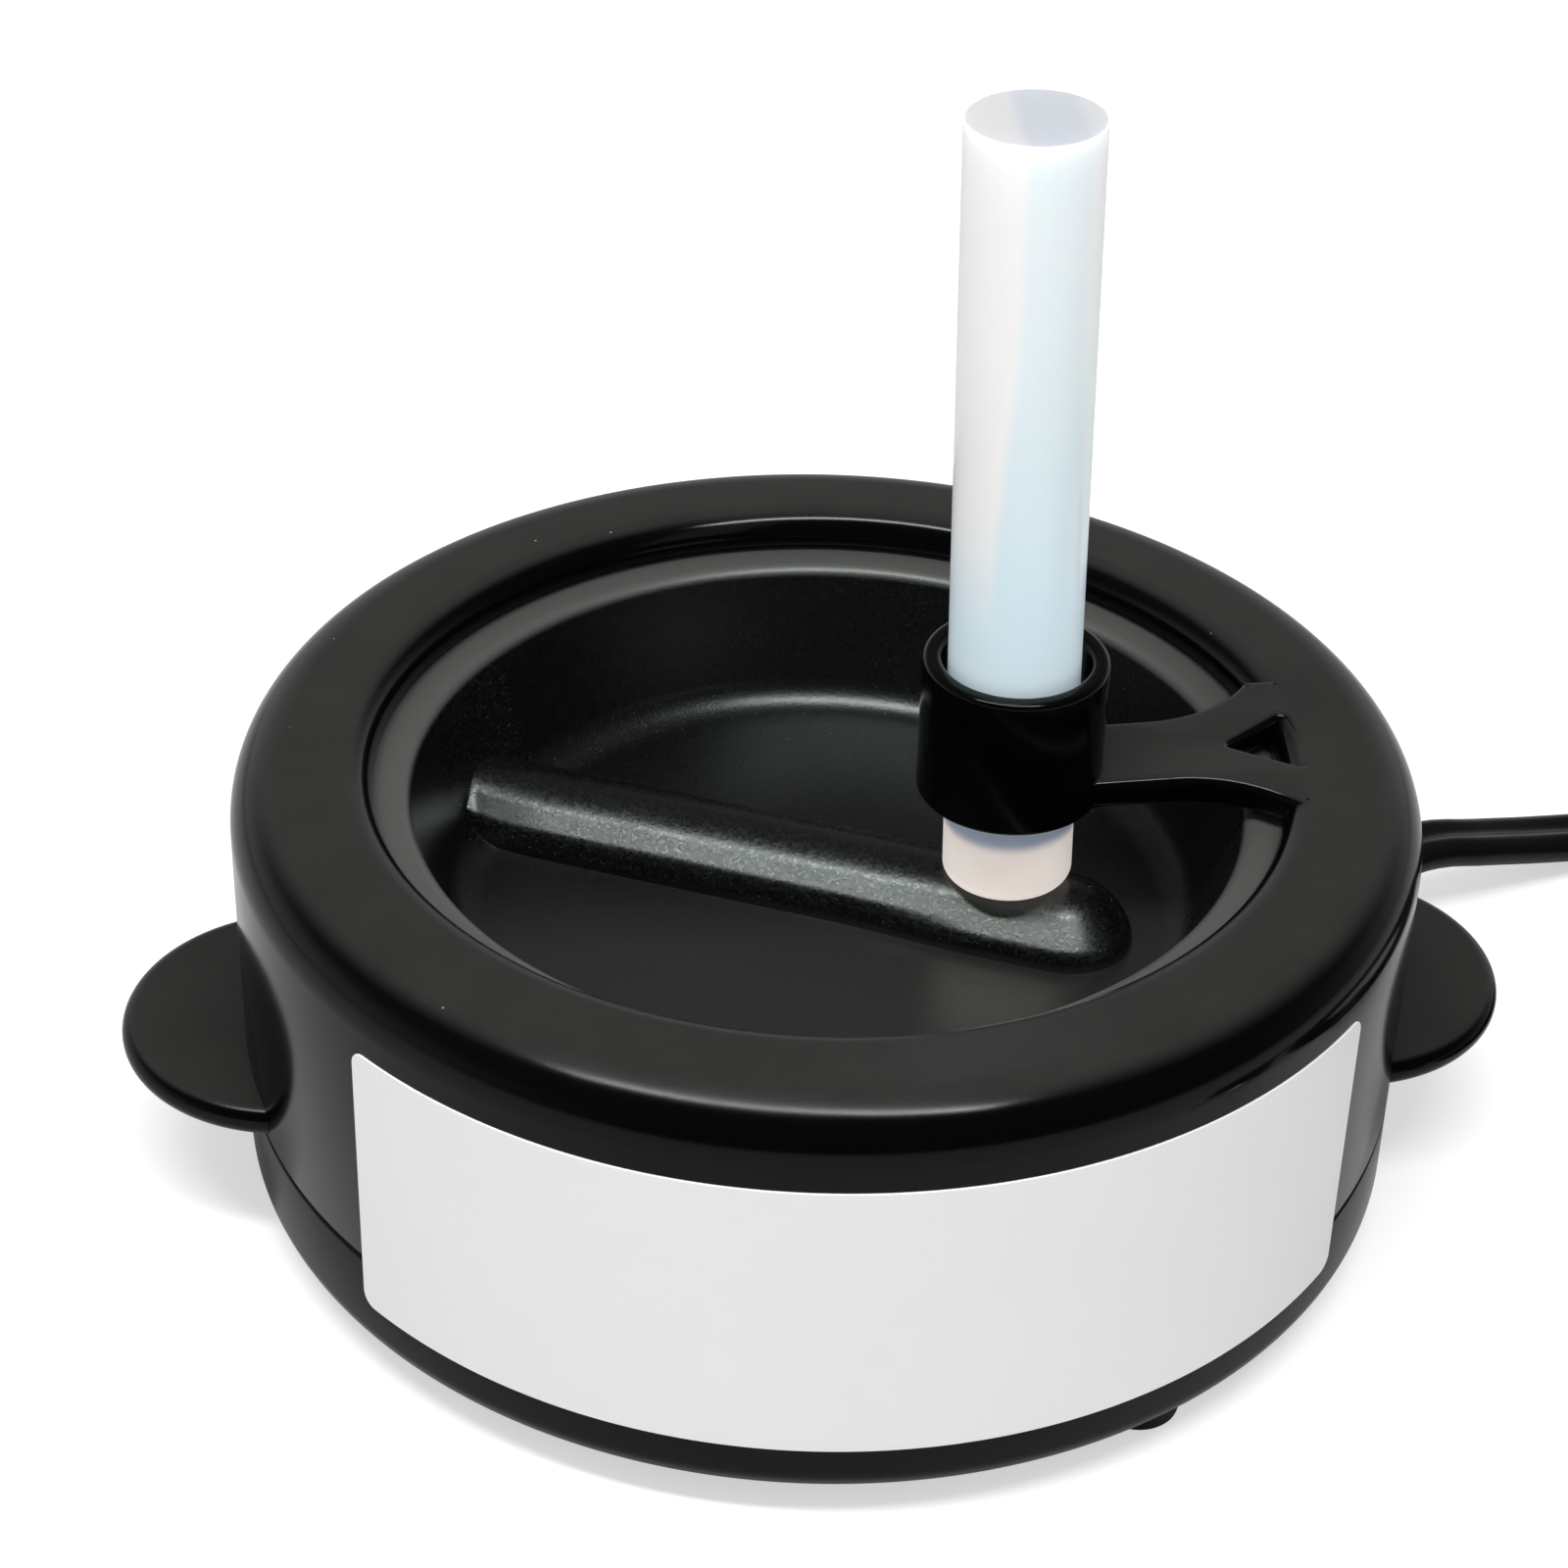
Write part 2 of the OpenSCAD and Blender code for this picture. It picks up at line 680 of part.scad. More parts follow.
// Middle line of the coil: in on the lower layer and out on the upper one, clockwise
function coil_radius(t) = coil_r - coil_step * min(t, coil_turns - t);
function coil_height(t) = coil_low + coil_lift * max(0, min(1, (t - coil_turns / 2) / 0.5 + 0.5));
function coil_point(t) =
    let (a = 90 - 360 * t)
    [coil_x + coil_radius(t) * cos(a), coil_y + coil_radius(t) * sin(a), coil_height(t)];
coil_rings = 24 * coil_turns;
coil_loops = [for (i = [0:coil_rings]) coil_point(i / 24)];
coil_path = concat(
    [coil_loops[0] - [coil_lead, 0, 0]], coil_loops, [coil_loops[coil_rings] - [0, coil_lead, 0]]);

// Least gap between the coil's turns: points over half a turn apart, as ovals
function oval_gap(a, b) =
    let (flat = norm([a[0] - b[0], a[1] - b[1]]), rise = abs(a[2] - b[2]), far = norm([flat, rise]))
    far - far / max(0.001, norm([flat / cord_w, rise / cord_t]));
least_gap = min([for (i = [0:coil_rings - 12]) for (j = [i + 12:coil_rings])
    oval_gap(coil_loops[i], coil_loops[j])]);
echo(least_gap_in_coil = least_gap);

function path_length(p) = len(p) < 2 ? 0 : [for (i = 0, s = 0; i < len(p) - 1;
    s = s + norm(p[i + 1] - p[i]), i = i + 1) s + norm(p[i + 1] - p[i])][len(p) - 2];
boot_end = cord_point(body_r + boot_len, 0, entry_z);
free_path = concat(
    [boot_end, cord_point(body_r + boot_len + exit_len, 0, entry_z)], cord_route, [coil_path[0]]);
end_path = concat([coil_path[len(coil_path) - 1]], end_route, [[plug_x, plug_y, plug_z]]);
echo(cord_length = path_length(free_path) + path_length(coil_path) + path_length(end_path));

module power_cord() {
    color(plastic) flat_cord(free_path);
}

module cord_coil() {
    color(plastic) flat_cord(coil_path, 6);
}

module cord_end() {
    color(plastic) flat_cord(end_path);
}

// Strap round all the turns of the coil
module cord_tie() {
    inner = coil_r - coil_step * coil_turns / 2 - cord_w / 2 - 0.9;
    outer = coil_r + cord_w / 2 + 0.7;
    high = coil_low + coil_lift + cord_t / 2 + 0.3;
    color([0.15, 0.15, 0.16]) translate([coil_x, coil_y, 0]) rotate([0, 0, tie_az])
        translate([0, tie_w / 2, 0]) rotate([90, 0, 0]) linear_extrude(tie_w) difference() {
            translate([inner, 0]) square([outer - inner, high + tie_t]);
            translate([inner + tie_t, tie_t]) square([outer - inner - 2 * tie_t, high - tie_t]);
        }
}

// Two-pin plug lying on its flat side, with a waist for the fingers
module plug_body() {
    color(plastic) translate([plug_x, plug_y, plug_z]) rotate([0, 0, 180]) {
        hull() {
            rotate([0, 90, 0]) linear_extrude(0.5) scale([0.55, 1]) circle(4, $fn = 32);
            translate([10, 0, 0]) rotate([0, 90, 0]) linear_extrude(1) scale([0.9, 1.15]) circle(5, $fn = 32);
        }
        hull() {
            translate([10, 0, 0]) rotate([0, 90, 0]) linear_extrude(1) scale([0.9, 1.15]) circle(5, $fn = 32);
            translate([24, 0, 0]) cube([10, 20, 11], center = true);
            translate([26, 0, 0]) cube([8, 22, 13], center = true);
        }
    }
}

module plug_blades() {
    color([0.8, 0.74, 0.5]) translate([plug_x - 30, plug_y, plug_z]) for (s = [-1, 1])
        translate([-8.5, s * 6.35, 0]) difference() {
            cube([17, 1.5, 6.3], center = true);
            translate([-5.5, 0, 0]) rotate([90, 0, 0]) cylinder(r = 1.6, h = 4, center = true, $fn = 24);
        }
}

upper_housing();
lower_housing();
glue_pan();
glue_stick();
blank_label();
heater_ceramics();
upper_electrode();
lower_electrode();
heater_insulation();
pressure_bar();
heater_clamp();
clamp_screws();
pan_washers();
pan_screws();
thermal_fuse();
fuse_sleeve();
live_lead();
neutral_lead();
fuse_lead();
crimp_splices();
cord_clamp();
cord_clamp_screws();
inner_cord();
housing_screws();
foot_front();
foot_rear();
foot_left();
strain_relief();
power_cord();
cord_coil();
cord_end();
cord_tie();
plug_body();
plug_blades();
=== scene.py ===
import json
import math

import bpy
import numpy as np
from mathutils import Matrix, Vector
from mathutils.geometry import tessellate_polygon


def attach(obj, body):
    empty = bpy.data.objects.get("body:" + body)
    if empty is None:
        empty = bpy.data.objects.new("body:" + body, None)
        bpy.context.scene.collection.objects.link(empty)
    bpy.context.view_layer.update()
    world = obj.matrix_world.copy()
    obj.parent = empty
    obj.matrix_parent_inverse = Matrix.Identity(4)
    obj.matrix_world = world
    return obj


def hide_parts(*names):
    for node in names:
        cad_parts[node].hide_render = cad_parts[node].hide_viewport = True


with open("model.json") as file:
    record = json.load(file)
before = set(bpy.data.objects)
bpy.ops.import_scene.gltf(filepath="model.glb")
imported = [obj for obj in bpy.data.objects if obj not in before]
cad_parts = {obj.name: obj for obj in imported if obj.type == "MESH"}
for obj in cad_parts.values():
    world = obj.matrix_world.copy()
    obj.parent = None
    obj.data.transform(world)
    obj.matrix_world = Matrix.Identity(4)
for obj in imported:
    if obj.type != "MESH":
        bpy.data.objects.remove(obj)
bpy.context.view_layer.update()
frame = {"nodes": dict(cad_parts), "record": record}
scene = bpy.context.scene
mm = 0.001  # every size below is in millimetres until its mesh is made
print("frame loaded:", len(frame["nodes"]), "nodes")


# ---- shader graph: Python sums become nodes ----

class Wire:  # one output socket; + - * / on it add Math nodes
    def __init__(self, graph, socket):
        self.graph, self.socket = graph, socket

    def math(self, kind, a, b=0.0, c=0.0):
        return self.graph.node("Math", {"operation": kind}, {0: a, 1: b, 2: c})

    def __add__(self, other): return self.math("ADD", self, other)
    def __radd__(self, other): return self.math("ADD", other, self)
    def __sub__(self, other): return self.math("SUBTRACT", self, other)
    def __rsub__(self, other): return self.math("SUBTRACT", other, self)
    def __mul__(self, other): return self.math("MULTIPLY", self, other)
    def __rmul__(self, other): return self.math("MULTIPLY", other, self)

    def between(self, low, high):  # 0 below low, 1 above high, eased between them
        settings = {"interpolation_type": "SMOOTHSTEP"}
        return self.graph.node("MapRange", settings, {"Value": self, "From Min": low, "From Max": high})

    def clamped(self):
        return self.math("MINIMUM", self.math("MAXIMUM", self, 0.0), 1.0)


class Graph:  # the node tree of one material or of the world
    def __init__(self, tree):
        self.tree = tree
        tree.nodes.clear()

    def node(self, kind, settings=None, feeds=None, out=0):
        made = self.tree.nodes.new("ShaderNode" + kind)
        for key, value in (settings or {}).items():
            setattr(made, key, value)
        for key, value in (feeds or {}).items():
            self.feed(made.inputs[key], value)
        return Wire(self, made.outputs[out]) if made.outputs else made

    def feed(self, socket, value):
        if isinstance(value, Wire):
            self.tree.links.new(value.socket, socket)
        elif isinstance(value, (tuple, list)):
            socket.default_value = (*value, 1) if len(socket.default_value) == 4 and len(value) == 3 else value
        else:
            socket.default_value = value

    def place(self):  # position on the object, in metres
        return self.node("TexCoord", out="Object")

    def axes(self, vector):  # the vector's x, y and z
        split = self.node("SeparateXYZ", feeds={0: vector})
        return [Wire(self, split.socket.node.outputs[k]) for k in range(3)]

    def height(self):  # position above the bench, in millimetres
        return self.axes(self.place())[2] * 1000.0

    def facingUp(self):  # 1 where the surface looks straight up, 0 where it stands upright
        return self.axes(self.node("TexCoord", out="Normal"))[2]

    def rays(self):  # 1 on rays that the camera sees, straight or through the resin; 1 on mirrored rays
        path = self.node("LightPath").socket.node.outputs
        camera, through, mirrored = (Wire(self, path["Is " + k + " Ray"]) for k in ("Camera", "Transmission", "Glossy"))
        return (camera + through).clamped(), mirrored

    def noise(self, size, detail=2.0, rough=0.5, vector=None):  # size of one blotch, in millimetres
        feeds = {"Vector": vector or self.place(), "Scale": 1000.0 / size, "Detail": detail, "Roughness": rough}
        return self.node("TexNoise", feeds=feeds)

    def cells(self, size, out="Color"):  # random colour of each cell, its size in millimetres
        return self.node("TexVoronoi", feeds={"Vector": self.place(), "Scale": 1000.0 / size}, out=out)

    def mix(self, factor, a, b):
        settings = {"data_type": "RGBA"}
        return self.node("Mix", settings, {0: factor, 6: a, 7: b}, out=2)

    def bump(self, height, depth, strength=1.0, normal=None):  # depth in millimetres
        feeds = {"Height": height, "Distance": depth * mm, "Strength": strength}
        if normal:
            feeds["Normal"] = normal
        return self.node("Bump", feeds=feeds)


def principled(name, build):
    # build(graph) returns the sockets of one Principled shader by name
    made = bpy.data.materials.new(name)
    made.use_nodes = True
    graph = Graph(made.node_tree)
    shader = graph.node("BsdfPrincipled", feeds=build(graph))
    graph.node("OutputMaterial", feeds={"Surface": shader})
    return made


# ---- finishes ----

ridge = {"turn": -24, "behind": 3.1, "radius": 5.8, "sink": 0.8, "end": 21.2, "blend": 2.2, "widens": 1, "pinch": 0.2}
stick = {"radius": 5.6, "length": 70, "lean": 1.5, "rest": 29.6, "place": 15.2, "guide": 44.75, "slope": 0.0262}


def mouldedBlack(graph):
    # glossy walls; faces that look up are satin, a little paler, and carry a few specks of dust
    up = graph.facingUp().between(0.75, 0.97) * (1.0 - graph.height().between(44.0, 49.0))  # but not the collar's top
    grain = graph.noise(0.4, 3.0, 0.6)
    cloud = graph.noise(7.0, 4.0, 0.6)
    speck = graph.cells(3.4, "Distance")
    dust = (1.0 - speck.between(0.025, 0.05)) * graph.noise(8.0).between(0.54, 0.6) * up
    satin = graph.mix(cloud, (0.0155, 0.0152, 0.0144), (0.0240, 0.0234, 0.0220))
    plain = graph.mix(up, (0.0012, 0.0012, 0.0013), satin)
    return {
        "Base Color": graph.mix(dust, plain, (0.16, 0.15, 0.14)),
        "Roughness": 0.13 + up * 0.22 + (cloud - 0.5) * 0.08,
        "Specular IOR Level": 0.16,
        "Normal": graph.bump(grain * (0.15 + up * 0.85), 0.014, 0.5),
    }


def nonStick(graph):
    # cast metal under a dark coat whose fine grain sparkles where light strikes it
    grain = graph.noise(0.34, 3.0, 0.75)
    flake = graph.node("SeparateColor", feeds={0: graph.cells(0.26)}, out="Red")
    wear = graph.noise(7.0, 4.0)
    height = graph.height()
    flange = height.between(36.3, 37.1)  # its flat rim has less grain and is painted paler: a painted sheen where it catches the light
    x, y = (axis * 1000.0 for axis in graph.axes(graph.place())[:2])
    paintedLitFloor = (1.0 - height.between(24.5, 25.2)) * (1.0 - y.between(-8.0, 6.0))  # painted light: the floor in front of the ridge is painted paler than the shaded floor behind it
    turn = math.radians(-ridge["turn"])
    off = x * math.sin(turn) + y * math.cos(turn) - ridge["behind"]
    beside = graph.node("Math", {"operation": "ABSOLUTE"}, {0: off})  # distance from the ridge's middle line
    bar = (1.0 - beside.between(6.2, 7.4)) * height.between(24.5, 25.4)  # the ridge's grain is coarser
    coat = graph.mix(flake.between(0.6, 1.0), (0.0008, 0.0009, 0.0008), (0.0030, 0.0034, 0.0031))
    floor = graph.mix(paintedLitFloor, coat, (0.0120, 0.0120, 0.0112))
    flakes = graph.bump(flake * (0.5 + bar), 0.02, 0.7)
    return {
        "Base Color": graph.mix(flange, floor, (0.0620, 0.0620, 0.0585)),
        "Roughness": 0.25 + wear * 0.08 + flange * 0.12 + bar * (flake * 0.14 - 0.06),
        "Specular IOR Level": 0.65,
        "Specular Tint": (0.90, 1.0, 0.94),
        "Normal": graph.bump(grain * (0.6 - bar * 0.1 - flange * 0.4), 0.06, 0.8, flakes),
    }


def glueResin(graph):
    # milky resin, cool in the middle, with light painted on it: a painted whitish highlight to the left, and below the
    # collar a painted bluish shade over a warm foot painted as lit
    height = graph.height()
    swirl = graph.noise(14.0, 2.0)
    across = graph.axes(graph.place())[0] * 1000.0
    axis = stick["place"] - (height - stick["guide"]) * stick["slope"]
    high = height.between(52.0, 96.0)
    # edge of the painted whitish highlight down the left side, wavering with the swirl
    paintedSheenEdge = high * 1.7 - 3.1 + (swirl - 0.5) * 1.2
    whole = 1.0 - height.between(54.0, 70.0)  # the painted whitish highlight ends above the collar
    cool = graph.node("Math", {"operation": "MAXIMUM"}, {0: (across - axis - paintedSheenEdge).between(-0.7, 0.7), 1: whole})
    # a fainter painted highlight near the right edge, high up
    cool = cool * (1.0 - (across - axis).between(3.2, 4.4) * high * 0.6)
    body = graph.mix(cool * (1.0 - high * 0.5), (0.95, 0.945, 0.93), (0.72, 0.86, 0.97))
    # painted light under the collar: a painted bluish shade just below it, and a warm foot below that painted as lit
    paintedLitFoot = 1.0 - (height + swirl * 1.6).between(35.4, 36.8)
    foot = graph.mix(paintedLitFoot, (0.58, 0.66, 0.80), (0.97, 0.86, 0.80))
    colour = graph.mix(1.0 - height.between(38.0, 41.0), body, foot)
    cut = graph.facingUp().between(0.7, 0.9)  # the stick's flat top, painted darker than the sides as shade, and paler on the left with the painted highlight
    colour = graph.mix(cut * high, colour, graph.mix(cool, (0.52, 0.52, 0.53), (0.44, 0.46, 0.50)))
    tip = 1.0 - height.between(30.0, 31.0)
    piped = 0.04 + (1.0 - height.between(46.0, 78.0)) * 0.10 + paintedLitFoot * 0.32 + tip * 0.2 - cut * 0.05
    return {
        "Base Color": colour,
        "Emission Color": graph.mix(piped, (0, 0, 0), colour),
        "Emission Strength": 1.0,  # light that comes down the resin from above the collar
        "Roughness": 0.16 + swirl * 0.12,
        "Subsurface Weight": 0.8,
        "Subsurface Radius": (1.0, 1.05, 1.15),
        "Subsurface Scale": 0.004,
        "IOR": 1.45,
        "Normal": graph.bump(swirl, 0.05, 0.4),
    }


def labelFilm(graph):
    # off-white film with a faint cloud and a thin satin coat
    fibre = graph.noise(0.4, 2.0)
    cloud = graph.noise(18.0, 2.0)
    return {
        "Base Color": graph.mix(cloud, (0.845, 0.85, 0.84), (0.88, 0.885, 0.875)),
        "Roughness": 0.38 + fibre * 0.08,
        "Coat Weight": 0.15,
        "Coat Roughness": 0.2,
        "Normal": graph.bump(fibre, 0.004, 0.4),
    }


def vinyl(base, rough):
    # soft plastic: its colour drifts from base to half as much again, over fine grain
    def build(graph):
        grain = graph.noise(0.25, 3.0, 0.6)
        cloud = graph.noise(8.0, 2.0)
        return {
            "Base Color": graph.mix(cloud, base, tuple(1.5 * c for c in base)),
            "Roughness": rough + (cloud - 0.5) * 0.1,
            "Specular IOR Level": 0.2,
            "Normal": graph.bump(grain, 0.01, 0.4),
        }
    return build


def metal(base, rough, streak=0.5):
    # rolled or ground metal with streaks drawn out along Y
    def build(graph):
        stretched = graph.node("Mapping", feeds={"Vector": graph.place(), "Scale": (1.0, 0.08, 1.0)})
        lines = graph.noise(streak, 4.0, 0.7, stretched)
        return {
            "Base Color": graph.mix(lines, tuple(0.85 * c for c in base), base),
            "Metallic": 1.0,
            "Roughness": rough + lines * 0.12,
            "Normal": graph.bump(lines, 0.004, 0.4),
        }
    return build


def woven(base, pitch):
    # slanting ribs with fuzz over them
    def build(graph):
        settings = {"wave_type": "BANDS", "bands_direction": "DIAGONAL"}
        feeds = {"Vector": graph.place(), "Scale": 300.0 / pitch, "Distortion": 1.5}
        ribs = graph.node("TexWave", settings, feeds, out=1)
        fuzz = graph.noise(0.2, 3.0)
        return {
            "Base Color": graph.mix(ribs, tuple(0.6 * c for c in base), base),
            "Roughness": 0.75 + fuzz * 0.15,
            "Normal": graph.bump(ribs, 0.1, 0.6, graph.bump(fuzz, 0.05, 0.5)),
        }
    return build


def ceramicGrey(graph):
    # dry speckled ceramic
    grain = graph.noise(0.5, 4.0, 0.7)
    return {
        "Base Color": graph.mix(grain, (0.30, 0.28, 0.25), (0.48, 0.46, 0.42)),
        "Roughness": 0.7 + grain * 0.15,
        "Normal": graph.bump(grain, 0.03, 0.5),
    }


def amberFilm(graph):
    # clouded orange film
    cloud = graph.noise(3.0, 3.0)
    return {
        "Base Color": graph.mix(cloud, (0.5, 0.24, 0.04), (0.68, 0.38, 0.08)),
        "Roughness": 0.25 + cloud * 0.1,
        "Normal": graph.bump(cloud, 0.02, 0.3),
    }


finish = {
    "housing": principled("moulded black plastic", mouldedBlack),
    "pan": principled("non-stick coat", nonStick),
    "glue": principled("glue resin", glueResin),
    "label": principled("blank label film", labelFilm),
    "cord": principled("cord vinyl", vinyl((0.0022, 0.0022, 0.0024), 0.30)),
    "strain_relief": principled("boot vinyl", vinyl((0.004, 0.004, 0.0044), 0.34)),
    "plug": principled("plug vinyl", vinyl((0.004, 0.004, 0.0044), 0.36)),
    "clamp": principled("clamp plastic", vinyl((0.02, 0.02, 0.02), 0.45)),
    "foot": principled("foot rubber", vinyl((0.003, 0.003, 0.003), 0.5)),
    "lead": principled("silicone wire", vinyl((0.62, 0.60, 0.55), 0.5)),
    "steel": principled("zinc plated steel", metal((0.62, 0.63, 0.65), 0.25)),
    "electrode": principled("rolled aluminium", metal((0.80, 0.80, 0.82), 0.3)),
    "blade": principled("nickel plated brass", metal((0.74, 0.70, 0.60), 0.18)),
    "ceramic": principled("heater ceramic", ceramicGrey),
    "insulation_film": principled("amber film", amberFilm),
    "sleeve": principled("glass sleeve", woven((0.80, 0.77, 0.70), 0.8)),
    "tie": principled("strap weave", woven((0.045, 0.045, 0.048), 0.9)),
}
print("finishes made:", len(finish))


# ---- surfaces on grids ----

class Shell:  # gathers grids of points, in millimetres, into one mesh
    def __init__(self):
        self.points, self.faces, self.count = [], [], 0

    def add(self, points):
        start = self.count
        self.points.append(points.reshape(-1, 3))
        self.count += points.size // 3
        return start

    def grid(self, points, wrapRows=False, wrapColumns=True, startPole=None, endPole=None):
        # quads between neighbours in a rows x columns array, with fans to the poles
        rows, columns = points.shape[:2]
        index = self.add(points) + np.arange(rows * columns).reshape(rows, columns)
        a = index if wrapRows else index[:-1]
        b = np.roll(index, -1, 0) if wrapRows else index[1:]
        if wrapColumns:
            quads = np.stack([a, np.roll(a, -1, 1), np.roll(b, -1, 1), b], -1)
        else:
            quads = np.stack([a[:, :-1], a[:, 1:], b[:, 1:], b[:, :-1]], -1)
        self.faces += quads.reshape(-1, 4).tolist()
        for row, pole in ((index[0], startPole), (index[-1], endPole)):
            if pole is not None:
                tip = self.add(np.array(pole, float))
                fan = np.stack([row, np.roll(row, -1), np.full(columns, tip)], -1)
                self.faces += fan.tolist()
        return index

    def mesh(self, name, sharp=38):
        made = bpy.data.meshes.new(name)
        made.from_pydata((np.concatenate(self.points) * mm).tolist(), [], self.faces)
        return tidyMesh(made, sharp)


def tidyMesh(made, sharp):
    # joins doubled points, turns faces outwards and rounds all but edges above the sharp angle
    import bmesh
    work = bmesh.new()
    work.from_mesh(made)
    bmesh.ops.remove_doubles(work, verts=work.verts, dist=1e-7)
    bmesh.ops.recalc_face_normals(work, faces=work.faces)
    work.to_mesh(made)
    work.free()
    made.polygons.foreach_set("use_smooth", np.ones(len(made.polygons), bool))
    made.set_sharp_from_angle(angle=math.radians(sharp))
    return made


def piece(name, mesh, slot, body="pot", replaces=()):
    # puts a mesh in the scene with its finish, on its body, in place of the nodes that it replaces
    made = bpy.data.objects.new(name, mesh)
    scene.collection.objects.link(made)
    mesh.materials.clear()
    mesh.materials.append(finish[slot])
    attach(made, body)
    if replaces:
        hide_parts(*replaces)
    return made


def roundedPath(corners, closed=True, fine=0.2):
    # straight runs joined by arcs: each corner is (x, y, radius)
    corner = np.array(corners, float)
    count = len(corner)
    runs = []
    for i in range(count):
        spot, radius = corner[i, :2], corner[i, 2]
        if radius == 0 or (not closed and i in (0, count - 1)):
            runs.append(spot[None])
            continue
        back = corner[i - 1, :2] - spot
        on = corner[(i + 1) % count, :2] - spot
        back /= np.linalg.norm(back)
        on /= np.linalg.norm(on)
        half = math.acos(np.clip(back @ on, -1, 1)) / 2
        middle = spot + (back + on) / np.linalg.norm(back + on) * radius / math.sin(half)
        first = spot + back * radius / math.tan(half) - middle
        last = spot + on * radius / math.tan(half) - middle
        sweep = math.pi - 2 * half
        t = np.linspace(0, 1, max(4, int(sweep * radius / fine) + 2))[:, None]
        runs.append(middle + (np.sin((1 - t) * sweep) * first + np.sin(t * sweep) * last) / math.sin(sweep))
    return np.concatenate(runs)


def lathe(shell, path, steps=256, centre=(0, 0), closed=True, lean=None):
    # the path (radius, height) turned about a vertical line; lean moves the points after that
    angle = np.arange(steps) * 2 * math.pi / steps
    radius, height = path[:, :1], path[:, 1:]
    points = np.stack([radius * np.cos(angle), radius * np.sin(angle), height + 0 * angle], -1)
    points += [centre[0], centre[1], 0]
    if lean is not None:
        points = lean(points)
    if closed:
        shell.grid(points, wrapRows=True)
    else:
        shell.grid(points[1:-1], startPole=points[0, 0], endPole=points[-1, 0])


def outwards(outline):
    # unit normals of a closed outline, to the right of its direction of travel
    along = np.roll(outline, -1, 0) - np.roll(outline, 1, 0)
    along /= np.linalg.norm(along, axis=1)[:, None]
    return np.stack([along[:, 1], -along[:, 0]], 1)


def plate(shell, outlines, low, high, edge, move=lambda p: p, arcs=8):
    # flat plate with rolled edges: outer outline anticlockwise, holes clockwise
    turn = np.linspace(0, math.pi / 2, arcs)
    inset = np.concatenate([edge * (1 - np.sin(turn)), edge * (1 - np.cos(turn))])
    height = np.concatenate([low + edge * (1 - np.cos(turn)), high - edge * (1 - np.sin(turn))])
    first, last = [], []
    for outline in outlines:
        out = outwards(outline)
        flat = outline[None] - out[None] * inset[:, None, None]
        points = np.concatenate([flat, np.broadcast_to(height[:, None, None], flat.shape[:2] + (1,))], 2)
        index = shell.grid(move(points))
        first.append((index[0], flat[0]))
        last.append((index[-1], flat[-1]))
    for rims in (first, last):
        loops = [[Vector((x, y, 0)) for x, y in flat] for index, flat in rims]
        order = np.concatenate([index for index, flat in rims])
        shell.faces += [order[list(face)].tolist() for face in tessellate_polygon(loops)]


def turning(degrees):
    # matrix that turns rows of points about the vertical
    a = math.radians(degrees)
    return np.array([[math.cos(a), math.sin(a), 0], [-math.sin(a), math.cos(a), 0], [0, 0, 1]])


def arcPoints(centre, radius, start, stop, fine=0.3):
    # arc from one angle to another, in degrees
    count = max(3, int(abs(math.radians(stop - start)) * radius / fine))
    a = np.radians(np.linspace(start, stop, count))
    return np.stack([centre[0] + radius * np.cos(a), centre[1] + radius * np.sin(a)], 1)


def smoothLine(points, step):
    # curve through the points whose slope at each is that of its neighbours, evened to a step
    p = np.array(points, float)
    span = np.linalg.norm(np.diff(p, axis=0), axis=1)
    knot = np.concatenate([[0], np.cumsum(span)])
    slope = np.gradient(p, knot, axis=0)
    t = np.linspace(0, knot[-1], int(knot[-1] / step * 4))
    k = np.clip(np.searchsorted(knot, t, "right") - 1, 0, len(span) - 1)
    u = ((t - knot[k]) / span[k])[:, None]
    h = span[k][:, None]
    curve = ((2 * u**3 - 3 * u**2 + 1) * p[k] + (u**3 - 2 * u**2 + u) * h * slope[k]
             + (3 * u**2 - 2 * u**3) * p[k + 1] + (u**3 - u**2) * h * slope[k + 1])
    far = np.concatenate([[0], np.cumsum(np.linalg.norm(np.diff(curve, axis=0), axis=1))])
    even = np.linspace(0, far[-1], int(far[-1] / step) + 1)
    return np.stack([np.interp(even, far, curve[:, axis]) for axis in range(3)], 1)


def sweep(shell, line, section):
    # a closed section (across, up) carried along a line, lying level
    along = np.gradient(line, axis=0)
    along /= np.linalg.norm(along, axis=1)[:, None]
    side = np.cross([0, 0, 1], along)
    side /= np.linalg.norm(side, axis=1)[:, None]
    up = np.cross(along, side)
    points = (line[:, None] + side[:, None] * section[None, :, :1] + up[:, None] * section[None, :, 1:])
    shell.grid(points, startPole=line[0], endPole=line[-1])


# ---- camera, at the photograph's place ----

camera = {
    "lens": 82.53, "azimuth": -6.672, "elevation": 33.92, "roll": 1.65,
    "distance": 309.97, "target": (-3.675, 0.43, 36.72),
}


def makeCamera():
    # stands at its distance from the target, at its azimuth and elevation, rolled about its view
    az, el, roll = (math.radians(camera[k]) for k in ("azimuth", "elevation", "roll"))
    back = Vector((math.sin(az) * math.cos(el), -math.cos(az) * math.cos(el), math.sin(el)))
    right = (-back).cross(Vector((0, 0, 1))).normalized()
    up = right.cross(-back)
    turned = right * math.cos(roll) + up * math.sin(roll)
    raised = up * math.cos(roll) - right * math.sin(roll)
    data = bpy.data.cameras.new("camera")
    data.lens = camera["lens"]
    data.sensor_width = 36
    data.clip_start = 0.01
    made = bpy.data.objects.new("camera", data)
    place = (Vector(camera["target"]) + back * camera["distance"]) * mm
    made.matrix_world = Matrix.Translation(place) @ Matrix((turned, raised, back)).transposed().to_4x4()
    scene.collection.objects.link(made)
    scene.camera = made


makeCamera()

# ---- cord ----

